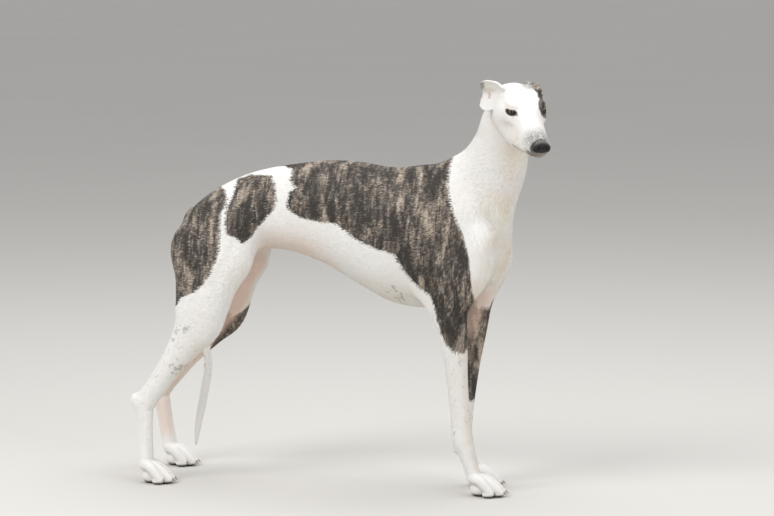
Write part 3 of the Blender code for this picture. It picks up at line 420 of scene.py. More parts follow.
def foreleg_forms(s):
    elbow, wrist, knuckle = (np.array(joint[s]) for joint in (ELBOW, WRIST, FORE_KNUCKLE))
    top = elbow + (0.01, s * 0.004, 0.085)
    leg = Form(limb_rows((top, elbow, wrist, knuckle), (
        (0, 300, 480, 20), (6000, 270, 390, 20), (10000, 245, 345, 10), (12000, 215, 315, 0),
        (14500, 180, 255, 0), (17000, 160, 225, 0), (18800, 165, 222, 0), (20000, 190, 242, 0),
        (22500, 180, 205, 0), (26000, 180, 165, 0), (30000, 205, 165, 0),
    )), 0.022)
    point_of_elbow = ball(elbow + (-0.018, 0, -0.008), 0.012, 0.012, 0.018, 0.018)
    return [leg, point_of_elbow, ball(wrist + (-0.013, 0, -0.024), 0.007, 0.007, 0.01, 0.008)]


def hindleg_forms(s):
    stifle, hock, knuckle = (np.array(joint[s]) for joint in (STIFLE, HOCK, HIND_KNUCKLE))
    hip = np.array((-0.362, s * 0.052, 0.575))
    leg = Form(limb_rows((hip, stifle, hock, knuckle), (
        (0, 380, 720, 40), (3500, 440, 880, -20), (6500, 420, 715, -90), (9000, 360, 610, -100),
        (11000, 300, 545, -30), (13000, 255, 395, 0), (15500, 210, 285, 0), (18000, 165, 245, 0),
        (20000, 155, 250, 0), (22000, 145, 200, 0), (26000, 140, 170, 0), (30000, 190, 175, 0),
    )), 0.05)
    heel = ball(hock + (-0.018, 0, 0.008), 0.016, 0.012, 0.017, 0.012, heading=(0.6, 0, 0.8))
    return [leg, heel, ball((-0.43, s * 0.052, 0.503), 0.042, 0.036, 0.05, 0.04)]


def paw_forms(knuckle, length, spread):
    """Four arched toes with their pads, and the large pad behind them."""
    forms = []
    base, height = np.array((knuckle[0], knuckle[1], 0.0)), knuckle[2]
    for lane, reach in TOES:
        y, far = lane * spread, length * reach
        path = (
            (0.0, 0.5 * y, height - 0.002, 0.0115, 0.012),
            (0.42 * far, 0.95 * y, height - 0.006, 0.0105, 0.0115),
            (0.8 * far, 1.02 * y, 0.02, 0.0098, 0.011),
            (far, 1.03 * y, 0.0105, 0.0085, 0.009),
        )
        forms.append(Form([(*(base + row[:3]), *row[3:]) for row in path], 0.005))
        forms.append(ball(base + (0.84 * far, 1.02 * y, 0.007), 0.012, 0.0085, 0.009, 0.003))
    forms.append(ball(base + (0.012, 0, 0.015), 0.021, 0.0205, 0.0178, 0.008))
    return forms


def tail_form():
    return Form(in_metres((
        (-4120, 0, 5560, 160, 170), (-4480, 0, 5510, 165, 175), (-4670, 0, 5180, 150, 160),
        (-4690, 0, 4650, 130, 130), (-4520, 0, 3950, 115, 115), (-4280, 0, 3200, 105, 105),
        (-4140, 0, 2550, 98, 105), (-4240, 0, 1850, 92, 105), (-4370, 0, 1220, 78, 90), (-4440, 0, 720, 35, 40),
    )), 0.006)


def eye_place(s):
    return EYE_PLACE[0], s * EYE_PLACE[1], EYE_PLACE[2]


def head_forms():
    def run(table, blend, s=1, **more):
        return Form(in_metres(table, s), blend, place=HEAD, **more)

    forms = [
        run((
            (-1040, 0, -60, 260, 240), (-840, 0, -40, 380, 280), (-550, 0, -45, 440, 290),
            (-250, 0, -50, 410, 290), (0, 0, -80, 340, 250),
        ), 0.03),
        run((
            (-500, 0, -160, 370, 360), (-150, 0, -190, 370, 360), (220, 0, -210, 310, 300),
            (580, 0, -290, 278, 255), (940, 0, -365, 241, 200), (1160, 0, -400, 199, 165),
        ), 0.02, egg=0.2, caps=(0.03, 0.012)),
        run((
            (-520, 0, -470, 360, 280), (-100, 0, -530, 300, 230), (400, 0, -550, 220, 145),
            (900, 0, -555, 160, 105), (1070, 0, -550, 125, 92),
        ), 0.012, caps=(0.02, 0.008)),
    ]
    for s in SIDES:
        forms += [
            run((
                (-250, 255, -450, 110, 190), (200, 240, -490, 110, 175), (550, 190, -495, 105, 150),
                (900, 120, -480, 95, 110),
            ), 0.01, s),
            run((
                (-520, 280, -540, 130, 170), (-120, 240, -610, 120, 150), (400, 160, -610, 100, 115),
                (850, 80, -575, 80, 80),
            ), 0.012, s),
            muscle((0.006, s * 0.032, -0.014), (-0.062, s * 0.042, -0.01), 0.01, 0.013, 0.018, place=HEAD),
        ]
        forms += balls((
            (-420, 290, -360, 280, 180, 290, 160), (-620, 260, 120, 340, 180, 220, 140),
            (-620, 390, -240, 260, 140, 260, 200), (-70, 275, 130, 170, 130, 90, 140),
        ), s, HEAD)
        lid = EYE_RADIUS + LID_THICKNESS
        forms.append(ball(eye_place(s), lid, lid, lid, 0.007, place=HEAD))
    forms.append(ball((-0.062, 0.035, 0.0265), 0.026, 0.011, 0.011, 0.006, place=HEAD))
    forms.append(ball((NOSE_BACK + 0.0055, 0, -0.0365), 0.009, 0.0185, 0.0125, 0.003, place=HEAD))
    return forms


def ear_rings(s):
    """Rings of the leaf of one ear, each a crescent that is open on its cupped side, with a
    fold along its middle. The right ear stands out from the skull, its rim blunt and folded,
    and the left one is laid back along the skull."""
    across, facing = EAR_ACROSS[s], EAR_FACING[s]
    # place in the head's frame, half width, curl in degrees, thickness, depth of the fold
    if s == RIGHT:
        table = (
            (-540, -320, 100, 240, 55, 120, 0), (-640, -420, 120, 300, 46, 85, 0),
            (-710, -510, 120, 310, 42, 60, 30), (-770, -590, 110, 320, 40, 48, 50),
            (-820, -660, 100, 310, 40, 40, 60), (-860, -715, 100, 280, 40, 34, 60),
            (-880, -750, 110, 240, 40, 28, 60),
        )
    else:
        table = (
            (-460, 200, 120, 150, 75, 110, 0), (-580, 300, 185, 180, 58, 110, 0),
            (-730, 300, 190, 190, 46, 90, 0), (-880, 280, 145, 190, 40, 62, 10),
            (-1010, 260, 80, 150, 38, 44, 20), (-1120, 240, 0, 90, 35, 34, 10),
            (-1180, 220, -40, 30, 30, 28, 0),
        )
    units = (10000, 10000, 10000, 10000, 1, 10000, 10000)  # all but the curl are lengths
    rings = []
    for x, y, z, half, curl, thick, fold in smooth_rows(np.array(table) / units, 6):
        spread = radians(curl)
        round_by = half / sin(spread)
        outer, inner = [], []
        for k in range(EAR_POINTS):
            turn = spread * (2 * k / (EAR_POINTS - 1) - 1)
            edge = abs(turn) / spread
            by = thick / 2 * (1 - 0.55 * edge ** 3)
            sunk = fold * max(0.0, 1 - (edge / EAR_FOLD) ** 2)
            for side, points in ((by, outer), (-by, inner)):
                reach = round_by + side
                points.append(Vector((x, y, z)) + across * reach * sin(turn)
                              + facing * (round_by - sunk - reach * cos(turn)))
        rings.append([HEAD @ point for point in outer + inner[::-1]])
    return rings


def tube_into(mesh, form):
    """Adds the form to the mesh as a closed tube with rounded ends."""
    last = len(form.axis) - 1
    stations = [(0, -sin(a), cos(a)) for a in (1.2, 0.8, 0.4)]
    stations += [(i, 0.0, 1.0) for i in range(len(form.axis))]
    stations += [(last, sin(a), cos(a)) for a in (0.4, 0.8, 1.2)]
    rings = []
    for i, out, size in stations:
        middle = form.axis[i] + form.ahead[i] * out * form.caps[0 if i == 0 else 1]
        ring = []
        for turn in even_turns(RING_POINTS):
            width = form.width[i] * (1 - form.egg * sin(turn))
            ring.append(middle + size * (form.side[i] * width * cos(turn)
                                         + form.up[i] * form.depth[i] * sin(turn)))
        rings.append(ring)
    join_rings(mesh, rings)


def read(items, name, width, kind=float):
    """One attribute of all items of a mesh, as rows of that width."""
    values = np.empty(len(items) * width, kind)
    items.foreach_get(name, values)
    return values.reshape(-1, width)


def mesh_points(mesh):
    return read(mesh.vertices, "co", 3)


def vertex_normals(mesh):
    return read(mesh.vertices, "normal", 3)


def move_points(mesh, points):
    mesh.vertices.foreach_set("co", points.ravel())
    mesh.update()


def apply_modifiers(thing):
    """Replaces the object's mesh by what its modifiers make of it."""
    graph = bpy.context.evaluated_depsgraph_get()
    made = bpy.data.meshes.new_from_object(thing.evaluated_get(graph))
    thing.modifiers.clear()
    thing.data = made


def relax(mesh, points, rounds, share=0.5):
    """Evens out the spacing of the points along the mesh's edges."""
    ends = read(mesh.edges, "vertices", 2, int)
    count = np.bincount(ends.ravel(), minlength=len(points))[:, None]
    for _ in range(rounds):
        total = np.zeros_like(points)
        np.add.at(total, ends[:, 0], points[ends[:, 1]])
        np.add.at(total, ends[:, 1], points[ends[:, 0]])
        points = points * (1 - share) + share * total / count
    return points


def fade(low, high, value):
    """0 below low, 1 above high, smooth between; low may be the larger."""
    t = np.clip((value - low) / (high - low), 0, 1)
    return t * t * (3 - 2 * t)


def in_head_frame(points):
    turn = np.array(HEAD.to_3x3())
    return (points - np.array(HEAD_PLACE)) @ turn


def place_in_scene(name, data):
    thing = bpy.data.objects.new(name, data)
    bpy.context.collection.objects.link(thing)
    return thing


def new_object(name, mesh):
    data = bpy.data.meshes.new(name)
    mesh.to_mesh(data)
    mesh.free()
    return place_in_scene(name, data)


def combine(thing, other, operation):
    """One Boolean, applied, by the solver for closed meshes, which are all that it meets here."""
    boolean = thing.modifiers.new("combine", "BOOLEAN")
    boolean.operation = operation
    boolean.solver = "MANIFOLD"
    boolean.object = other
    apply_modifiers(thing)
    bpy.data.objects.remove(other, do_unlink=True)


def circle(middle, one, two, size, turns):
    """Points round a middle at the given turns from one direction to the other."""
    return [middle + (one * cos(turn) + two * sin(turn)) * size for turn in turns]


def even_turns(count):
    return [2 * pi * i / count for i in range(count)]


def join_rings(mesh, rings, closed=False):
    """Adds a closed surface through rings of points, ends filled or joined in a loop."""
    rows = [[mesh.verts.new(point) for point in ring] for ring in rings]
    pairs = list(zip(rows, rows[1:]))
    if closed:
        pairs.append((rows[-1], rows[0]))
    for one, two in pairs:
        for i in range(len(one)):
            j = (i + 1) % len(one)
            mesh.faces.new((one[i], one[j], two[j], two[i]))
    if not closed:
        mesh.faces.new(list(reversed(rows[0])))
        mesh.faces.new(rows[-1])


def loft(rings, closed=False):
    mesh = bmesh.new()
    join_rings(mesh, rings, closed)
    bmesh.ops.triangulate(mesh, faces=mesh.faces)
    bmesh.ops.recalc_face_normals(mesh, faces=mesh.faces)
    return mesh


def loft_into(whole, rings):
    """Adds one loft to a mesh of many."""
    data = bpy.data.meshes.new("one")
    one = loft(rings)
    one.to_mesh(data)
    one.free()
    whole.from_mesh(data)
    bpy.data.meshes.remove(data)


def fused(name, forms, voxel):
    """One closed object round the tubes of all forms, on a grid of that size."""
    tubes = bmesh.new()
    for form in forms:
        if not form.hollow:
            tube_into(tubes, form)
    thing = new_object(name, tubes)
    remesh = thing.modifiers.new("fuse", "REMESH")
    remesh.mode = "VOXEL"
    remesh.voxel_size = voxel
    apply_modifiers(thing)
    return thing


def refine(thing, zone, cuts):
    """Divides the grid again where the zone says so."""
    inside = zone(mesh_points(thing.data))
    mesh = bmesh.new()
    mesh.from_mesh(thing.data)
    edges = [edge for edge in mesh.edges if inside[edge.verts[0].index] and inside[edge.verts[1].index]]
    bmesh.ops.subdivide_edges(mesh, edges=edges, cuts=cuts, use_grid_fill=True)
    bmesh.ops.triangulate(mesh, faces=[face for face in mesh.faces if len(face.verts) > 4])
    mesh.to_mesh(thing.data)
    mesh.free()


def from_head(points):
    return norm(points - np.array(HEAD_PLACE))


def near_head(points, border):
    """1 on the head, down to 0 over that border."""
    return fade(HEAD_REACH, HEAD_REACH - border, from_head(points))


def head_zone(points):
    return from_head(points) < HEAD_REACH


def paw_zone(points):
    return points[:, 2] < PAW_TOP


def coat_depth(points):
    """How far the skin lies inside the solids: less on the face and the feet."""
    fine = most(near_head(points, 0.05), fade(0.14, 0.08, points[:, 2]))
    return COAT_DEPTH + (FACE_DEPTH - COAT_DEPTH) * fine


def shape_to(thing, forms, depth):
    """Settles the object's points at that depth under the blended forms."""
    points = mesh_points(thing.data)
    points = relax(thing.data, settle(forms, points, depth(points)), 2)
    move_points(thing.data, settle(forms, points, depth(points), rounds=2))


def eye_frame(s):
    """The frame of an eye: x out along its axis, y towards the inner corner, z up."""
    out = Vector((cos(EYE_TURN), s * sin(EYE_TURN), 0.0))
    inner = Vector((sin(EYE_TURN) * cos(LID_TILT), -s * cos(EYE_TURN) * cos(LID_TILT), -sin(LID_TILT)))
    turn = Matrix((out, inner, out.cross(inner) * -s)).transposed().to_4x4()
    return HEAD @ Matrix.Translation(eye_place(s)) @ turn


def lid_line(grow):
    """Points of the almond between the lids, as offsets across the eye's axis."""
    line = []
    for turn in even_turns(LID_POINTS):
        high = LID_OPENING[1] if sin(turn) > 0 else LID_OPENING[2]
        line.append((grow * LID_OPENING[0] * cos(turn), grow * high * sin(turn) * abs(sin(turn)) ** 0.15))
    return line


def lid_rim(s):
    """The thick edge of both lids, a closed tube round the almond."""
    place = eye_frame(s)
    rings = []
    for y, z in lid_line(1.08):
        away = sqrt(max((EYE_RADIUS + RIM_LIFT) ** 2 - y * y - z * z, 0.0035 ** 2))
        middle = Vector((away, y, z))
        ring = circle(middle, middle.normalized(), Vector((0, y, z)).normalized(), RIM_SIZE, even_turns(10))
        rings.append([place @ point for point in ring])
    return new_object("rim", loft(rings, closed=True))


def lid_cutter(s):
    """The opening between the lids, widening outwards."""
    place = eye_frame(s)
    rings = [[place @ Vector((away, y, z)) for y, z in lid_line(grow)]
             for away, grow in ((0.002, 0.84), (0.034, 1.12))]
    return new_object("cutter", loft(rings))


def ball_cutter(s):
    """The hollow for an eyeball."""
    mesh = bmesh.new()
    bmesh.ops.create_uvsphere(mesh, u_segments=48, v_segments=32, radius=EYE_RADIUS + EYE_GAP)
    mesh.transform(HEAD @ Matrix.Translation(eye_place(s)))
    return new_object("cutter", mesh)


def surface_from(forms, start, heading):
    """Where a line from inside the forms leaves them."""
    steps = np.linspace(0, 0.07, 141)
    values = blended_distance(forms, np.array(start) + steps[:, None] * np.array(heading))
    i = int(np.argmax(values > 0))
    share = values[i - 1] / (values[i - 1] - values[i])
    return Vector(start) + Vector(heading) * (steps[i - 1] + share * (steps[1] - steps[0]))


def mouth_line(forms, count):
    """Points of the line where the lips meet, from corner to corner, and the way out there."""
    back, front = MOUTH_CORNER[0], MOUTH_FRONT[0]
    turn = HEAD.to_3x3()
    line = []
    for i in range(count + 1):
        t = 2 * i / count - 1
        along = 1 - abs(t) ** 2.2
        z = MOUTH_CORNER[1] * (1 - along) + MOUTH_FRONT[1] * along
        core = Vector((back + (front - back) * min(along, 0.9), 0, z))
        angle = t * pi / 2 * min(1.0, 0.35 + abs(t))
        heading = (turn @ Vector((cos(angle), sin(angle), 0))).normalized()
        line.append((surface_from(forms, HEAD @ core, heading), heading, t))
    return line


def mouth_cutter(line):
    """A thin wedge run along the line of the mouth."""
    up = HEAD.to_3x3() @ Vector((0, 0, 1))
    rings = []
    for skin, heading, t in line:
        open_by = MOUTH_OPENING * (0.4 + 0.6 * min(1.0, (1 - abs(t)) * 8))
        rings.append((skin - heading * MOUTH_DEPTH, skin + heading * 0.004 - up * open_by,
                      skin + heading * 0.004 + up * open_by))
    return new_object("cutter", loft(rings))


def line_distance(points, line):
    """Distance from each point to a line through the given places."""
    line = np.asarray(line, float)
    nearest = np.full(len(points), np.inf)
    for start, end in zip(line, line[1:]):
        run = end - start
        off = points - start
        t = np.clip(off @ run / (run @ run), 0, 1)
        nearest = np.minimum(nearest, norm(off - t[:, None] * run))
    return nearest


def emboss(thing, strokes):
    """Raises or sinks the skin along lines. A stroke is its line, its half width and its
    height, which is negative for a groove."""
    points = mesh_points(thing.data)
    rise = np.zeros(len(points))
    for line, wide, high in strokes:
        line = smooth_rows(line, 6)
        near = np.all((points > line.min(0) - 3 * wide) & (points < line.max(0) + 3 * wide), axis=1)
        rise[near] += high * np.exp(-(line_distance(points[near], line) / wide) ** 2)
    move_points(thing.data, points + vertex_normals(thing.data) * rise[:, None])


def on_head(line):
    """Places of the head's frame, moved to the frame of the trunk."""
    return [tuple(HEAD @ Vector(place)) for place in line]


def face_strokes():
    """Lids, corners of the eyes, cheeks and lips, and the slot in the fold of the right ear."""
    strokes = [(on_head(in_metres(line, s)), wide, high) for s in SIDES for line, wide, high in FACE_STROKES]
    return strokes + [(on_head(EAR_SLOT), 0.003, -0.0016)]


def body_strokes():
    """Ribs, the edge of the shoulder blade, the tendons of the legs and a few veins."""
    strokes = []
    for s in SIDES:
        for k in range(7):
            x = 0.035 - 0.027 * k
            rib = [(x + 0.012, s * 0.075, 0.64), (x - 0.01, s * 0.092, 0.58), (x - 0.004, s * 0.088, 0.52)]
            strokes.append((rib, 0.0065, 0.0011))
        elbow, wrist, hock, knuckle = (np.array(joint[s]) for joint in (ELBOW, WRIST, HOCK, HIND_KNUCKLE))
        strokes += [(in_metres(line, s), wide, high) for line, wide, high in SHOULDER_STROKES]
        for out in (-1, 1):
            tendon = hock + in_metres(((340, 155, 850), (120, 120, 450), (10, 110, 180)), out)
            cannon = [hock + (-0.002, out * 0.012, -0.03), knuckle + (-0.006, out * 0.012, 0.03)]
            flexor = [elbow + (-0.008, out * 0.024, -0.06), wrist + (-0.009, out * 0.016, 0.03)]
            strokes += [(tendon, 0.005, -0.0022), (cannon, 0.0034, -0.0012), (flexor, 0.005, -0.0013)]
        vein = [elbow + (0.028, s * 0.012, -0.05), elbow + (0.02, s * 0.019, -0.13),
                wrist + (0.02, s * 0.012, 0.05)]
        strokes.append((vein, 0.0022, 0.0008))
        strokes += [(in_metres(line, s), wide, high) for line, wide, high in THIGH_STROKES]
    return strokes


def flatten_soles(thing):
    """Sets the pads flat on the floor."""
    points = mesh_points(thing.data)
    points[:, 2] = np.maximum(points[:, 2], SOLE_HEIGHT)
    move_points(thing.data, points)


def smooth_near(thing, chosen, rounds):
    """Evens out the chosen points only."""
    points = mesh_points(thing.data)
    points[chosen] = relax(thing.data, points, rounds)[chosen]
    move_points(thing.data, points)


def add_ears(skin, forms):
    """Joins the leaves of the ears to the skin and rounds off the fold where they meet."""
    for s in SIDES:
        leaf = new_object("leaf", loft(ear_rings(s)))
        tree = BVHTree.FromObject(leaf, bpy.context.evaluated_depsgraph_get())
        combine(skin, leaf, "UNION")
        points = mesh_points(skin.data)
        near = np.flatnonzero(head_zone(points))
        off_leaf = np.array([tree.find_nearest(Vector(point))[3] for point in points[near]])
        off_head = np.abs(blended_distance(forms, points[near]) + coat_depth(points[near]))
        smooth_near(skin, near[(off_leaf < EAR_WELD) & (off_head < EAR_WELD)], 10)


def make_skin():
    forms = all_forms()
    skin = fused("skin", forms, VOXEL)
    refine(skin, head_zone, HEAD_CUTS)
    refine(skin, paw_zone, PAW_CUTS)
    shape_to(skin, forms, coat_depth)
    flatten_soles(skin)
    emboss(skin, face_strokes() + body_strokes())
    add_ears(skin, forms)
    for s in SIDES:
        combine(skin, lid_rim(s), "UNION")
        combine(skin, lid_cutter(s), "DIFFERENCE")
        combine(skin, ball_cutter(s), "DIFFERENCE")
    lips = mouth_line(head_forms(), LIP_POINTS)
    combine(skin, mouth_cutter(lips), "DIFFERENCE")
    keep_largest(skin)
    return skin, lips


def keep_largest(thing):
    """Drops every loose scrap beside the largest surface."""
    mesh = bmesh.new()
    mesh.from_mesh(thing.data)
    bmesh.ops.triangulate(mesh, faces=[face for face in mesh.faces if len(face.verts) > 4])
    left, parts = set(mesh.verts), []
    while left:
        part = [left.pop()]
        for vert in part:  # the list grows while it is read
            others = {edge.other_vert(vert) for edge in vert.link_edges} & left
            left -= others
            part += others
        parts.append(part)
    parts.sort(key=len)
    bmesh.ops.delete(mesh, geom=[vert for part in parts[:-1] for vert in part], context="VERTS")
    for face in mesh.faces:
        face.material_index = 0
    mesh.to_mesh(thing.data)
    mesh.free()
    thing.data.materials.clear()


def all_forms():
    forms = trunk_forms() + neck_forms()
    for s in SIDES:
        forms += shoulder_forms(s) + foreleg_forms(s) + hindleg_forms(s)
    forms += head_forms()[:-1]
    forms.append(tail_form())
    for s in SIDES:
        forms += paw_forms(FORE_KNUCKLE[s], *FORE_TOES)
        forms += paw_forms(HIND_KNUCKLE[s], *HIND_TOES)
    return forms


def inside_by(outline, x, z):
    """Signed distance to an outline in the XZ plane, positive inside it."""
    outline = np.array(outline) / 1000
    inside = np.zeros(len(x), bool)
    nearest = np.full(len(x), np.inf)
    for (x0, z0), (x1, z1) in zip(outline, np.roll(outline, -1, axis=0)):
        crosses = (z0 > z) != (z1 > z)
        at = x0 + (z - z0) / (z1 - z0 + 1e-12) * (x1 - x0)
        inside ^= crosses & (x < at)
        run = np.array((x1 - x0, z1 - z0))
        t = np.clip(((x - x0) * run[0] + (z - z0) * run[1]) / (run @ run), 0, 1)
        nearest = np.minimum(nearest, np.hypot(x - x0 - t * run[0], z - z0 - t * run[1]))
    return np.where(inside, nearest, -nearest)


def inside_eggs(points, eggs):
    """Roughly how deep each point lies in one of the ellipsoids, negative outside all."""
    return np.max([(1 - norm((points - np.array(centre)) / np.array(size))) * min(size)
                   for centre, size in eggs], axis=0)


def markings(points, normals, lips):
    """The coat's markings at every point: how far inside a dark patch it lies, and how
    strongly it is ticked, grey, pink, black or cream, each from 0 to 1. The cream is partly the
    coat's own tint and partly painted shade on the throat, the underside and under the jaw; the
    pink takes in a painted highlight along the upper lids, and the black a painted shadow in the
    fold of the right ear."""
    x, y, z = points.T
    own = in_head_frame(points)
    hx, hy, hz = own.T
    on_face = fade(HEAD_REACH - 0.01, HEAD_REACH - 0.05, norm(own))
    sides = [np.max([inside_by(outline, x, z) for outline in outlines], axis=0)
             for outlines in (RIGHT_PATCHES, LEFT_PATCHES)]
    over = fade(-0.008, 0.008, y)
    patch = sides[0] * (1 - over) + sides[1] * over
    patch = np.where(on_face > 0.3, inside_eggs(own, FACE_PATCHES), patch)
    far_ear = fade(-0.002, 0.003, inside_eggs(own, FAR_EAR)) * on_face

    inner = fade(0.1, 0.7, -normals[:, 1] * np.sign(y))
    thigh = fade(-0.012, 0.012, z - 0.374 - 1.05 * (x + 0.349)) * fade(0.54, 0.48, z)
    thigh *= fade(-0.22, -0.27, x)
    forearm = fade(0.3, 0.35, z) * fade(0.012, -0.012, x - 0.178 - 0.32 * (z - 0.33))
    armpit = most(fade(0.385, 0.4, z), forearm) * fade(0.46, 0.42, z) * fade(0.1, 0.14, x)
    patch = patch - 0.035 * inner * most(thigh, armpit)
    cannon = inner * fade(0.05, 0.09, z) * fade(0.24, 0.18, z) * fade(-0.46, -0.49, x)
    groin = fade(0.0, 0.7, -normals[:, 2]) * fade(-0.06, -0.2, x) * fade(0.45, 0.48, z)
    pink_and_highlight = most(inner * (0.9 * thigh + 0.7 * armpit * fade(0.24, 0.2, x)), 0.45 * groin, 0.55 * cannon)

    black_and_shade = eye_rims(points)
    for s in SIDES:
        streak = line_distance(own, [(0.013, s * 0.0285, 0.0), (0.022, s * 0.0256, -0.0018)])
        black_and_shade = most(black_and_shade, 0.75 * fade(0.0026, 0.0009, streak))
    lip = fade(0.0026, 0.0012, line_distance(points, [skin for skin, _, _ in lips]))
    lip *= 0.35 + 0.65 * most(fade(0.048, 0.038, hx), fade(0.08, 0.1, hx))
    front = fade(0.082, 0.1, hx) * fade(-0.047, -0.054, hz)
    border = fade(0.108, 0.116, hx) * fade(-0.062, -0.054, hz)
    pads = fade(0.009, 0.003, z) * fade(0.2, -0.5, normals[:, 2])
    black_and_shade = most(black_and_shade, on_face * most(lip, 0.8 * front, border), pads)
    mole = fade(0.0046, 0.002, norm(own - np.array(MOLE)))
    pink_and_highlight = most(pink_and_highlight, 0.55 * front * on_face, 0.35 * mole)

    bridge = on_face * fade(0.064, 0.104, hx) * fade(-0.05, -0.025, hz)
    belly = fade(0.47, 0.44, z) * fade(-0.06, -0.02, x) * fade(0.1, 0.06, x)
    gaskin = fade(-0.38, -0.42, x) * fade(0.2, 0.24, z) * fade(0.38, 0.34, z)
    shin = fade(0.1, 0.14, x) * fade(0.07, 0.12, z) * fade(0.33, 0.28, z)
    tick = most(0.3 * bridge, 0.62 * belly, 0.75 * gaskin, 0.5 * shin)
    slot = line_distance(own, EAR_SLOT)
    grey = most(bridge ** 0.7, 0.95 * fade(-0.002, 0.002, inside_eggs(own, EAR_FRINGE)), 0.8 * far_ear)
    pink_and_highlight = most(pink_and_highlight, 0.8 * fade(0.0042, 0.0018, slot))
    # Painted shadow: the middle of the slot in the ear's fold is darkened.
    black_and_shade = most(black_and_shade, 0.45 * fade(0.003, 0.001, slot))
    # Painted highlight: a pale pink line along each upper lid, where the dark rim is lightened.
    lid = lid_highlight(points)
    pink_and_highlight, black_and_shade = most(pink_and_highlight, 0.7 * lid), black_and_shade * (1 - 0.75 * lid)

    tone = on_face * (0.26 * far_ear - 0.15)
    flat = np.stack((x, np.zeros(len(x)), z), axis=1)
    for line, wide, high in TONE_RIGHT:
        away = line_distance(flat, np.insert(np.array(line) / 1000, 1, 0, axis=1))
        tone += high * np.exp(-(away / wide) ** 2) * (1 - over)

    # Painted shade: the front of the throat, the underside and the lower jaw, which face away from the light,
    # are turned cream; the mole and the faint tint everywhere are the coat's own cream.
    throat = fade(0.14, 0.24, x) * fade(0.0, 0.8, normals[:, 0] - 0.6 * normals[:, 2])
    under = fade(0.2, 0.9, -normals[:, 2])
    jaw = on_face * fade(-0.012, -0.05, hz) * fade(0.07, 0.03, hx)
    cream_and_shade = np.clip(0.75 * throat * (1 - 0.7 * on_face) + 0.5 * under + 0.4 * jaw + mole + 0.12, 0, 1)
    return {"patch": patch, "tone": tone, "tick": tick, "grey": grey, "pink_and_highlight": pink_and_highlight, "black_and_shade": black_and_shade,
            "cream_and_shade": cream_and_shade}


def by_the_eyes(points, shape):
    """The larger value of a shape that is given across the gaze of each eye."""
    share = np.zeros(len(points))
    for s in SIDES:
        place = eye_frame(s)
        x, y, z = ((points - np.array(place.translation)) @ np.array(place.to_3x3())).T
        share = np.maximum(share, shape(y, z) * ((x > 0.002) & (x < 0.03)))
    return share


def eye_rims(points, grow=1.0):
    """1 on the dark bare skin round each eye, an almond seen along the gaze."""
    return by_the_eyes(points, lambda y, z: fade(1.12, 0.92, np.hypot(y / (grow * EYE_RIM[0]),
                                                                      z / (grow * EYE_RIM[1]))))


def lid_highlight(points):
    """1 along the painted highlight on the edge of each upper lid."""
    return by_the_eyes(points, lambda y, z: np.exp(-((z - 0.006 + 0.1 * np.abs(y)) / 0.0008) ** 2)
                       * fade(0.007, 0.004, np.abs(y)))


def bareness(points, lips):
    """1 where no hair grows: round the eyes, on the leather, the lips and the pads."""
    own = in_head_frame(points)
    leather = fade(0.116, 0.121, own[:, 0]) * (norm(own) < HEAD_REACH)
    lip = fade(0.002, 0.0012, line_distance(points, [skin for skin, _, _ in lips]))
    return most(leather, eye_rims(points, 0.9), lip, fade(0.005, 0.002, points[:, 2]))


def lie_of_coat(points):
    """Directions in which the hair lies, before they are laid on the skin."""
    x, y, z = points.T
    own = in_head_frame(points)
    flow = np.tile((-1.0, 0.0, -0.3), (len(points), 1))

    def turn_to(direction, share):
        nonlocal flow
        flow = flow * (1 - share[:, None]) + np.array(direction) * share[:, None]

    turn_to((-0.35, 0, -1.0), fade(0.58, 0.42, z))
    turn_to((-0.55, 0, -0.9), fade(-0.24, -0.32, x) * fade(0.68, 0.56, z))
    turn_to((-0.15, 0, -1.0), fade(0.36, 0.28, z))
    turn_to((-0.1, 0, -1.0), fade(0.13, 0.21, x) * fade(0.69, 0.6, z))
    turn_to((-0.55, 0.1, -0.85), fade(0.15, 0.22, x) * fade(0.63, 0.7, z))
    turn_to((0.05, 0, -1.0), fade(0.024, 0.016, np.abs(y)) * fade(-0.4, -0.42, x))
    turn_to((0.9, 0, -0.45), fade(0.062, 0.045, z))
    turn_to(HEAD.to_3x3() @ Vector((-1.0, 0.0, -0.12)), near_head(points, 0.06))
    along_ear = HEAD.to_3x3() @ (Vector((-0.1, -0.075, -0.02)) - Vector((-0.056, -0.028, 0.01))).normalized()
    on_ear = fade(0.052, 0.062, -own[:, 1] - 0.25 * (own[:, 0] + 0.06))
    turn_to(along_ear, on_ear * fade(-0.04, -0.06, own[:, 0]))
    return flow


def tuft_length(points):
    """Length of the hair at each point: shortest on the face, the ears and the feet."""
    x, y, z = points.T
    long = np.full(len(points), BODY_HAIR)
    long += (FRINGE_HAIR - BODY_HAIR) * fade(-0.4, -0.46, x) * fade(0.34, 0.42, z)
    long += (LEG_HAIR - long) * fade(0.38, 0.28, z)
    long += (FACE_HAIR - long) * most(near_head(points, 0.06), fade(0.1, 0.05, z))
    return long


def unwrap(thing):
    """An unwrap of the skin's own shape, in a layer named OFBake."""
    layer = thing.data.uv_layers.new(name="OFBake")
    thing.data.uv_layers.active = layer
    bpy.ops.object.select_all(action="DESELECT")
    thing.select_set(True)
    bpy.context.view_layer.objects.active = thing
    bpy.ops.object.mode_set(mode="EDIT")
    bpy.ops.mesh.select_all(action="SELECT")
    bpy.ops.uv.smart_project(angle_limit=radians(70), island_margin=0.002)
    bpy.ops.object.mode_set(mode="OBJECT")


def set_values(mesh, name, values):
    layer = mesh.attributes.new(name, "FLOAT", "POINT")
    layer.data.foreach_set("value", np.ascontiguousarray(values, np.float32))


def nearest_nodes(points):
    """The CAD node of flesh that is nearest to each point of the finished frame."""
    verts, faces, owner = [], [], []
    for name in FLESH:
        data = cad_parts[name].data
        data.calc_loop_triangles()
        start = len(verts)
        verts += [tuple(vert.co) for vert in data.vertices]
        for triangle in data.loop_triangles:
            faces.append(tuple(start + i for i in triangle.vertices))
            owner.append(name)
    tree = BVHTree.FromPolygons(verts, faces)
    return np.array([owner[tree.find_nearest(Vector(point))[2]] for point in points])


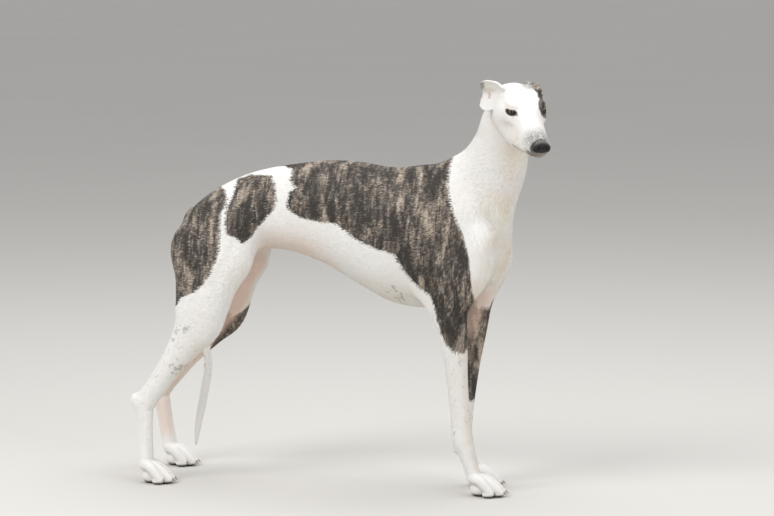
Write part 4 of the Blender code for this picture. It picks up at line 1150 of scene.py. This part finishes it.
def make_coat(skin, marks, bare):
    """Tufts of short hair over the whole skin, in meshes for each node of flesh. A tuft is a
    thin three-sided blade, rooted in the skin, widest in the middle and laid along it."""
    mesh = skin.data
    mesh.calc_loop_triangles()
    corners = read(mesh.loop_triangles, "vertices", 3, int)
    uv = read(mesh.uv_layers["OFBake"].data, "uv", 2)[read(mesh.loop_triangles, "loops", 3, int)]
    points = mesh_points(mesh)
    length = tuft_length(points + np.array(ORIGIN))
    tree = BVHTree.FromObject(skin, bpy.context.evaluated_depsgraph_get())

    a, b, c = (points[corners[:, k]] for k in range(3))
    area = norm(np.cross(b - a, c - a)) / 2
    size = length[corners].mean(1)
    density = COVER * 2 / (size * size * SLIMNESS) * np.sqrt(size / BODY_HAIR) * (1 - bare[corners].max(1))
    total = np.cumsum(area * density)
    number = int(total[-1])
    rng = np.random.default_rng(SEED)
    picks = np.searchsorted(total, (np.arange(number) + rng.random(number)) / number * total[-1])
    picks = np.minimum(picks, len(corners) - 1)
    one, two = rng.random(number), rng.random(number)
    swap = one + two > 1
    one[swap], two[swap] = 1 - one[swap], 1 - two[swap]
    share = np.stack((1 - one - two, one, two), axis=1)

    def at_root(values):
        return (values[corners[picks]] * (share if values.ndim == 1 else share[:, :, None])).sum(1)

    root = at_root(points)
    up = unit(at_root(vertex_normals(mesh)))
    along = at_root(lie_of_coat(points + np.array(ORIGIN)))
    along -= up * (along * up).sum(1)[:, None]
    along /= norm(along)[:, None] + 1e-9
    turn = rng.normal(0, TUFT_TURN, number)[:, None]
    along = along * np.cos(turn) + np.cross(up, along) * np.sin(turn)
    across = np.cross(up, along)
    long = (at_root(length) * rng.uniform(0.75, 1.25, number))[:, None]
    wide = long * SLIMNESS * rng.uniform(0.8, 1.25, number)[:, None]

    def laid(share_along, height):
        spots = root + along * long * share_along
        out = np.empty_like(spots)
        for i, spot in enumerate(spots):
            place, normal, _, _ = tree.find_nearest(Vector(spot))
            out[i] = place + normal * height[i, 0]
        return out

    middle = laid(0.42, wide * 0.05)
    tip = laid(1.0, long * rng.uniform(0.01, TIP_RISE, number)[:, None])
    lean = up + rng.normal(0, LEAN, number)[:, None] * across + rng.normal(0, LEAN, number)[:, None] * along
    soft = np.stack((lean, lean - across * 0.4, lean + across * 0.4, lean, lean + along * 0.2), axis=1)
    verts = np.stack((root - up * wide * 0.4, middle - across * wide / 2, middle + across * wide / 2,
                      middle + up * wide * 0.42, tip), axis=1)
    faces = np.array(((0, 1, 3), (0, 3, 2), (0, 2, 1), (4, 3, 1), (4, 2, 3), (4, 1, 2)))
    patch = np.array(((0, -1), (-1, 0), (1, 0), (0, 0), (0, 1))) * TUFT_PATCH / 2
    root_uv = (uv[picks] * share[:, :, None]).sum(1)
    carried = {name: at_root(values) for name, values in marks.items()}
    cell = np.floor((root + rng.normal(0, 0.0006, root.shape)) / CLUMP) @ np.array(HASH_STEPS)
    clump = np.mod(np.sin(cell) * HASH_SCALE, 1.0)
    carried["hair"] = CLUMP_SHARE * clump + (1 - CLUMP_SHARE) * rng.random(number)
    owner = nearest_nodes(points)[corners[picks, 0]]
    pieces = []
    for name in FLESH:
        mine = np.flatnonzero(owner == name)
        groups = np.array_split(mine, len(mine) * len(faces) // PIECE_LIMIT + 1)
        for k, group in enumerate(groups):
            label = "coat_" + name + ("" if len(groups) == 1 else "_" + "abcdef"[k])
            pieces.append((blades(label, verts[group], soft[group], faces, root_uv[group], patch,
                                  {key: values[group] for key, values in carried.items()}), name))
    return pieces


def blades(name, verts, normals, faces, root_uv, patch, carried):
    """One mesh of many blades that share the same faces. Their normals follow the skin, so
    that the coat is shaded as one surface."""
    number, each = verts.shape[:2]
    indices = (faces[None] + np.arange(number)[:, None, None] * each).reshape(-1)
    mesh = bpy.data.meshes.new(name)
    mesh.vertices.add(number * each)
    mesh.vertices.foreach_set("co", verts.reshape(-1).astype(np.float32))
    mesh.loops.add(len(indices))
    mesh.loops.foreach_set("vertex_index", indices.astype(np.int32))
    mesh.polygons.add(len(indices) // 3)
    mesh.polygons.foreach_set("loop_start", np.arange(0, len(indices), 3, dtype=np.int32))
    mesh.update(calc_edges=True)
    spots = (root_uv[:, None, :] + patch[None]).reshape(-1, 2)
    layer = mesh.uv_layers.new(name="OFBake")
    layer.data.foreach_set("uv", np.clip(spots[indices], 0, 1).ravel().astype(np.float32))
    for key, values in carried.items():
        set_values(mesh, key, np.repeat(values, each))
    mesh.shade_smooth()
    mesh.normals_split_custom_set_from_vertices(normals.reshape(-1, 3).tolist())
    return place_in_scene(name, mesh)


def make_eye(s):
    """An eyeball with its cornea, and for each point how far from the gaze it lies."""
    mesh = bmesh.new()
    bmesh.ops.create_uvsphere(mesh, u_segments=64, v_segments=48, radius=EYE_RADIUS - EYE_GAP)
    mesh.transform(Matrix.Rotation(pi / 2, 4, "Y"))
    angles = []
    for vert in mesh.verts:
        angle = vert.co.normalized().angle(Vector((1, 0, 0)))
        bulge = CORNEA_RISE * max(0.0, 1 - (angle / CORNEA_ANGLE) ** 2)
        vert.co *= 1 + bulge / EYE_RADIUS
        angles.append(angle)
    rolls = [np.arctan2(vert.co.z, vert.co.y) for vert in mesh.verts]
    mesh.transform(eye_frame(s))
    eye = new_object("eyeball_" + SIDE_NAMES[s], mesh)
    set_values(eye.data, "gaze", angles)
    set_values(eye.data, "roll", rolls)
    eye.data.shade_smooth()
    return eye


def nose_forms():
    forms = balls(((1240, 0, -365, 90, 178, 122, 30), (1205, 0, -290, 85, 125, 70, 40)), place=HEAD)
    for s in SIDES:
        forms += balls(((1262, 88, -362, 66, 86, 98, 30), (1240, 140, -385, 60, 50, 70, 30)), s, HEAD)
    for s in SIDES:
        forms += balls(((1335, 76, -352, 48, 35, 40, 12),), s, HEAD, hollow=True)
        slit = in_metres(((1325, 95, -370, 16, 20), (1300, 140, -395, 14, 16), (1265, 180, -405, 12, 14)), s)
        forms.append(Form(slit, 0.0012, place=HEAD, hollow=True))
    groove = in_metres(((1345, 0, -325, 7, 10), (1338, 0, -400, 8, 12), (1310, 0, -480, 9, 12)))
    forms.append(Form(groove, 0.0012, place=HEAD, hollow=True))
    return forms


def make_nose():
    forms = nose_forms()
    nose = fused("nose_leather", forms, NOSE_VOXEL)
    shape_to(nose, forms, lambda points: np.full(len(points), NOSE_DEPTH))
    own = in_head_frame(mesh_points(nose.data))
    # Painted reflection: the top of the leather, which faces up to the lights, is made a lighter grey.
    set_values(nose.data, "top", 0.9 * fade(-0.035, -0.026, own[:, 2]) * fade(0.131, 0.125, own[:, 0]))
    nose.data.shade_smooth()
    return nose


def claw_rings(place, heading, size):
    rings = []
    heading = Vector(heading).normalized()
    across = heading.cross(Vector((0, 0, 1))).normalized()
    for k in range(13):
        t = sin(k / 12 * pi / 2) * 0.995
        middle = Vector(place) + heading * (size * 4.6 * t) + Vector((0, 0, -2.4 * size * t * t))
        thick = size * (0.95 - 0.45 * t) * (1 - t ** 5) ** 0.5
        rings.append(circle(middle, across * 0.72, Vector((0, 0, 1)), thick, even_turns(14)))
    return rings


def make_claws():
    """All claws in one piece; each root lies inside the tip of its toe."""
    whole = bmesh.new()
    for s in SIDES:
        for knuckle, (length, spread) in ((FORE_KNUCKLE[s], FORE_TOES), (HIND_KNUCKLE[s], HIND_TOES)):
            for lane, reach in TOES:
                tip = Vector((knuckle[0] + length * reach - 0.002, knuckle[1] + 1.03 * lane * spread, 0.015))
                loft_into(whole, claw_rings(tip, (1, 0.1 * lane, 0), CLAW_SIZE))
    claws = new_object("claws", whole)
    claws.data.shade_smooth()
    return claws


def make_whiskers(forms):
    """Stiff hairs on the lips, over the eyes and on the chin."""
    rng = np.random.default_rng(SEED + 1)
    whole = bmesh.new()
    beds = []
    for s in SIDES:
        for row in range(4):
            for k in range(5):
                beds.append(((0.108 - 0.01 * k - 0.003 * row, 0, -0.038 - 0.0045 * row),
                             (0.25 - 0.25 * k, s, -0.25 - 0.12 * row), 0.03 - 0.002 * row))
        for k in range(3):
            beds.append(((0.0 + 0.004 * k, s * 0.02, 0.01), (0.15, s * 0.5, 0.9), 0.016))
    for k in range(5):
        beds.append(((0.085 + 0.004 * k, 0, -0.055), (0.2, 0.25 * (k - 2), -1.0), 0.016))
    turn = HEAD.to_3x3()
    for start, heading, long in beds:
        heading = (turn @ (Vector(heading) + Vector(rng.normal(0, 0.1, 3)))).normalized()
        root = surface_from(forms, HEAD @ Vector(start), heading) - heading * 0.002
        droop = turn @ Vector((-0.25, 0, -0.25))
        long *= rng.uniform(0.8, 1.2)
        rings = []
        side = heading.cross(Vector((0.3, 0.2, 1))).normalized()
        over = heading.cross(side)
        for t in (0.0, 0.3, 0.6, 0.85, 1.0):
            middle = root + heading * long * t + droop * long * t * t
            thick = 0.00026 * (1 - 0.85 * t)
            rings.append(circle(middle, side, over, thick, (0.0, 2.1, 4.2)))
        loft_into(whole, rings)
    whiskers = new_object("whiskers", whole)
    whiskers.data.shade_smooth()
    return whiskers


class Shader:
    """A material with its Principled BSDF, and short calls that add nodes to it."""

    def __init__(self, name, roughness, **fixed):
        self.material = bpy.data.materials.new(name)
        self.material.use_nodes = True
        self.tree = self.material.node_tree
        self.out = self.tree.nodes["Principled BSDF"]
        self.out.inputs["Roughness"].default_value = roughness
        for label, value in fixed.items():
            self.out.inputs[label.replace("_", " ")].default_value = value

    def put(self, socket, value):
        if isinstance(value, bpy.types.NodeSocket):
            self.tree.links.new(value, socket)
        else:
            socket.default_value = value

    def node(self, kind, inputs, **settings):
        """A new node with its settings and what goes into it: values or other nodes' outputs."""
        made = self.tree.nodes.new("ShaderNode" + kind)
        for key, value in settings.items():
            setattr(made, key, value)
        for key, value in inputs.items():
            self.put(made.inputs[key], value)
        return made

    def paint(self, colour):
        self.put(self.out.inputs["Base Color"], colour)

    def value(self, name):
        return self.node("Attribute", {}, attribute_name=name).outputs["Fac"]

    def place(self, stretch=(1, 1, 1)):
        """The place on the object, stretched along each axis."""
        inputs = {0: self.node("TexCoord", {}).outputs["Object"], 1: stretch}
        return self.node("VectorMath", inputs, operation="MULTIPLY").outputs[0]

    def noise(self, scale, stretch=(1, 1, 1), detail=2.0, distortion=0.0):
        inputs = {"Vector": self.place(stretch), "Scale": scale, "Detail": detail, "Distortion": distortion}
        return self.node("TexNoise", inputs).outputs["Fac"]

    def scaled(self, one, two, three=0.0, operation="MULTIPLY_ADD"):
        return self.node("Math", {0: one, 1: two, 2: three}, operation=operation).outputs[0]

    def times(self, one, two):
        return self.scaled(one, two, operation="MULTIPLY")

    def plus(self, one, two):
        return self.scaled(one, two, operation="ADD")

    def ramp(self, value, low, high):
        """0 at low and 1 at high, smooth between."""
        inputs = {"Value": value, "From Min": low, "From Max": high}
        return self.node("MapRange", inputs, interpolation_type="SMOOTHSTEP").outputs["Result"]

    def mix(self, share, *colours):
        one, two = ((*value, 1.0) if isinstance(value, tuple) else value for value in colours)
        return self.node("Mix", {0: share, 6: one, 7: two}, data_type="RGBA").outputs[2]

    def bump(self, height, strength, distance):
        made = self.node("Bump", {"Strength": strength, "Distance": distance, "Height": height})
        self.put(self.out.inputs["Normal"], made.outputs["Normal"])


def coat_colour(look, hair):
    """The markings, with the painted shade and highlight that they carry, the same on the skin and on the hair
    that grows there.
    """
    ragged = look.plus(look.noise(420), look.times(look.noise(70), 1.2))
    edge = look.scaled(ragged, EDGE_RAGGED, look.value("patch"))
    edge = look.plus(edge, -1.1 * EDGE_RAGGED)
    dark = look.ramp(edge, -0.0014, 0.0014)

    bands = look.noise(1.0, (95, 30, 20), detail=3.0, distortion=0.7)
    broad = look.noise(1.0, (30, 18, 14), detail=1.0)
    tone = look.plus(look.times(bands, 0.85), look.times(broad, 0.6))
    tone = look.plus(tone, look.scaled(hair, 0.52, -0.535))
    tone = look.plus(tone, look.value("tone"))
    brindle = look.mix(look.ramp(tone, 0.34, 0.54), BRINDLE_DARK, BRINDLE_MID)
    brindle = look.mix(look.ramp(tone, 0.52, 0.74), brindle, BRINDLE_PALE)

    # The cream share is partly the coat's own tint and partly painted shade on the throat, the underside and
    # the jaw.
    shade = look.times(look.value("cream_and_shade"), look.ramp(look.noise(14), 0.25, 0.75))
    white = look.mix(shade, WHITE, CREAM_AND_SHADE)
    white = look.mix(look.times(hair, 0.24), white, SHADED_WHITE)
    spots = look.plus(look.noise(120, detail=3.0), look.times(look.noise(34), 0.8))
    spots = look.scaled(look.value("tick"), 0.3, spots)
    white = look.mix(look.times(look.ramp(spots, 1.18, 1.36), 0.5), white, TICKED)
    soft = look.times(look.value("grey"), look.ramp(look.noise(230, detail=3.0), 0.1, 0.7))
    white = look.mix(soft, white, TICKED)

    colour = look.mix(dark, white, brindle)
    # The pink share includes the painted highlight along the upper lids.
    pink_and_highlight = look.times(look.value("pink_and_highlight"), 0.85)
    colour = look.mix(pink_and_highlight, colour, BARE_PINK_AND_HIGHLIGHT)
    blotches = look.times(look.ramp(look.noise(260), 0.54, 0.64), pink_and_highlight)
    leather = look.mix(blotches, LEATHER_AND_SHADE, BARE_PINK_AND_HIGHLIGHT)
    # The black share also carries the painted shadow in the ear's fold.
    return look.mix(look.value("black_and_shade"), colour, leather)


def skin_material():
    look = Shader("greyhound_skin", 0.62, Specular_IOR_Level=0.35, Sheen_Weight=0.1, Sheen_Roughness=0.4)
    look.put(look.out.inputs["Roughness"], look.scaled(look.value("black_and_shade"), -0.3, 0.62))
    strand = look.noise(1.0, (950, 950, 260), detail=3.0)
    look.paint(coat_colour(look, strand))
    look.bump(strand, 0.35, 0.0006)
    return look.material


def coat_material():
    look = Shader("greyhound_coat", 0.58, Specular_IOR_Level=0.28, Sheen_Weight=0.15, Sheen_Roughness=0.4)
    hair = look.value("hair")
    look.paint(coat_colour(look, hair))
    strand = look.noise(1.0, (1600, 1600, 500), detail=2.0)
    look.bump(strand, 0.25, 0.0004)
    return look.material


def eye_material():
    look = Shader("eye", 0.25, Coat_Weight=1.0, Coat_Roughness=0.02, Specular_IOR_Level=0.0)
    gaze = look.value("gaze")
    rays = look.node("TexNoise", {"W": look.times(look.value("roll"), 9.0)}, noise_dimensions="1D")
    iris = look.mix(look.ramp(rays.outputs["Fac"], 0.3, 0.7), IRIS_DARK, IRIS_LIGHT)
    iris = look.mix(look.ramp(gaze, 0.44, 0.62), iris, IRIS_EDGE)
    colour = look.mix(look.ramp(gaze, 0.24, 0.28), PUPIL, iris)
    colour = look.mix(look.ramp(gaze, 0.62, 0.7), colour, EYE_WHITE)
    look.paint(colour)
    return look.material


def nose_material():
    look = Shader("nose_leather", 0.3, Specular_IOR_Level=0.28, Coat_Weight=0.0)
    cells = look.node("TexVoronoi", {"Vector": look.place(), "Scale": 900}, feature="DISTANCE_TO_EDGE")
    colour = look.mix(look.noise(180), (0.006, 0.0055, 0.0055), (0.022, 0.019, 0.018))
    # The top of the leather gets the painted reflection.
    colour = look.mix(look.value("top"), colour, NOSE_TOP_REFLECTION)
    look.paint(colour)
    look.bump(look.ramp(cells.outputs["Distance"], 0.0, 0.22), 0.55, 0.0003)
    return look.material


def plain_material(name, roughness, one, two, *noise, specular=0.5):
    """A colour that varies by noise between two."""
    look = Shader(name, roughness, Specular_IOR_Level=specular)
    look.paint(look.mix(look.noise(*noise), one, two))
    return look


def claw_material():
    look = plain_material("claw_horn", 0.34, (0.46, 0.36, 0.27), (0.2, 0.14, 0.1), 1.0, (120, 900, 900))
    look.bump(look.noise(1.0, (150, 1500, 1500)), 0.2, 0.0002)
    return look.material


def whisker_material():
    return plain_material("whisker", 0.4, (0.75, 0.72, 0.66), (0.3, 0.27, 0.24), 60, specular=0.4).material


def make_stage():
    """A plain pale floor and soft lights from above, the left and the right."""
    mesh = bmesh.new()
    bmesh.ops.create_grid(mesh, x_segments=1, y_segments=1, size=FLOOR_SIZE)
    floor = new_object("studio_floor", mesh)
    floor.data.materials.append(plain_material("studio_floor", 0.9, FLOOR_PALE, FLOOR_SHADE, 0.6).material)
    for name, place, size, power in LIGHTS:
        light = bpy.data.lights.new(name, "AREA")
        light.shape = "DISK"
        light.size = size
        light.energy = power
        lamp = place_in_scene(name, light)
        lamp.location = place
        lamp.rotation_mode = "QUATERNION"
        lamp.rotation_quaternion = (LIT_POINT - Vector(place)).to_track_quat("-Z", "Y")
    world = bpy.data.worlds.new("studio")
    world.use_nodes = True
    sky = world.node_tree.nodes["Background"]
    sky.inputs["Color"].default_value = (*SKY_COLOUR, 1.0)
    sky.inputs["Strength"].default_value = SKY_STRENGTH
    bpy.context.scene.world = world


def make_camera():
    """The photo's view, worked out from the paws, the legs and the head in it."""
    data = bpy.data.cameras.new("photo_view")
    data.sensor_width = 36.0
    data.lens = LENS
    camera = place_in_scene("photo_view", data)
    camera.location = CAMERA_PLACE - ORIGIN
    camera.rotation_euler = (pi / 2 - CAMERA_PITCH, 0, CAMERA_YAW)
    bpy.context.scene.camera = camera


def main():
    skin, lips = make_skin()
    forms = head_forms()
    eyes = [make_eye(s) for s in SIDES]
    nose, claws, whiskers = make_nose(), make_claws(), make_whiskers(forms)
    points = mesh_points(skin.data)
    marks = markings(points, vertex_normals(skin.data), lips)
    bare = bareness(points, lips)
    for name, values in marks.items():
        set_values(skin.data, name, values)
    skin.data.shade_smooth()
    for thing in (skin, nose, claws, whiskers, *eyes):
        thing.data.transform(Matrix.Translation(-ORIGIN))
    unwrap(skin)
    coat = make_coat(skin, marks, bare)

    for thing, material in ((skin, skin_material), (nose, nose_material), (claws, claw_material),
                            (whiskers, whisker_material)):
        thing.data.materials.append(material())
    ball_finish, hair = eye_material(), coat_material()
    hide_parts(*FLESH)
    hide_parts("nose")
    for eye, side in zip(eyes, ("right", "left")):
        eye.data.materials.append(ball_finish)
        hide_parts("eye_" + side)
    for piece, node in coat:
        piece.data.materials.append(hair)
    for piece in [skin, nose, claws, whiskers, *eyes] + [piece for piece, _ in coat]:
        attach(piece, "root")
    make_stage()
    make_camera()
    bpy.context.scene.view_settings.view_transform = "Standard"


main()
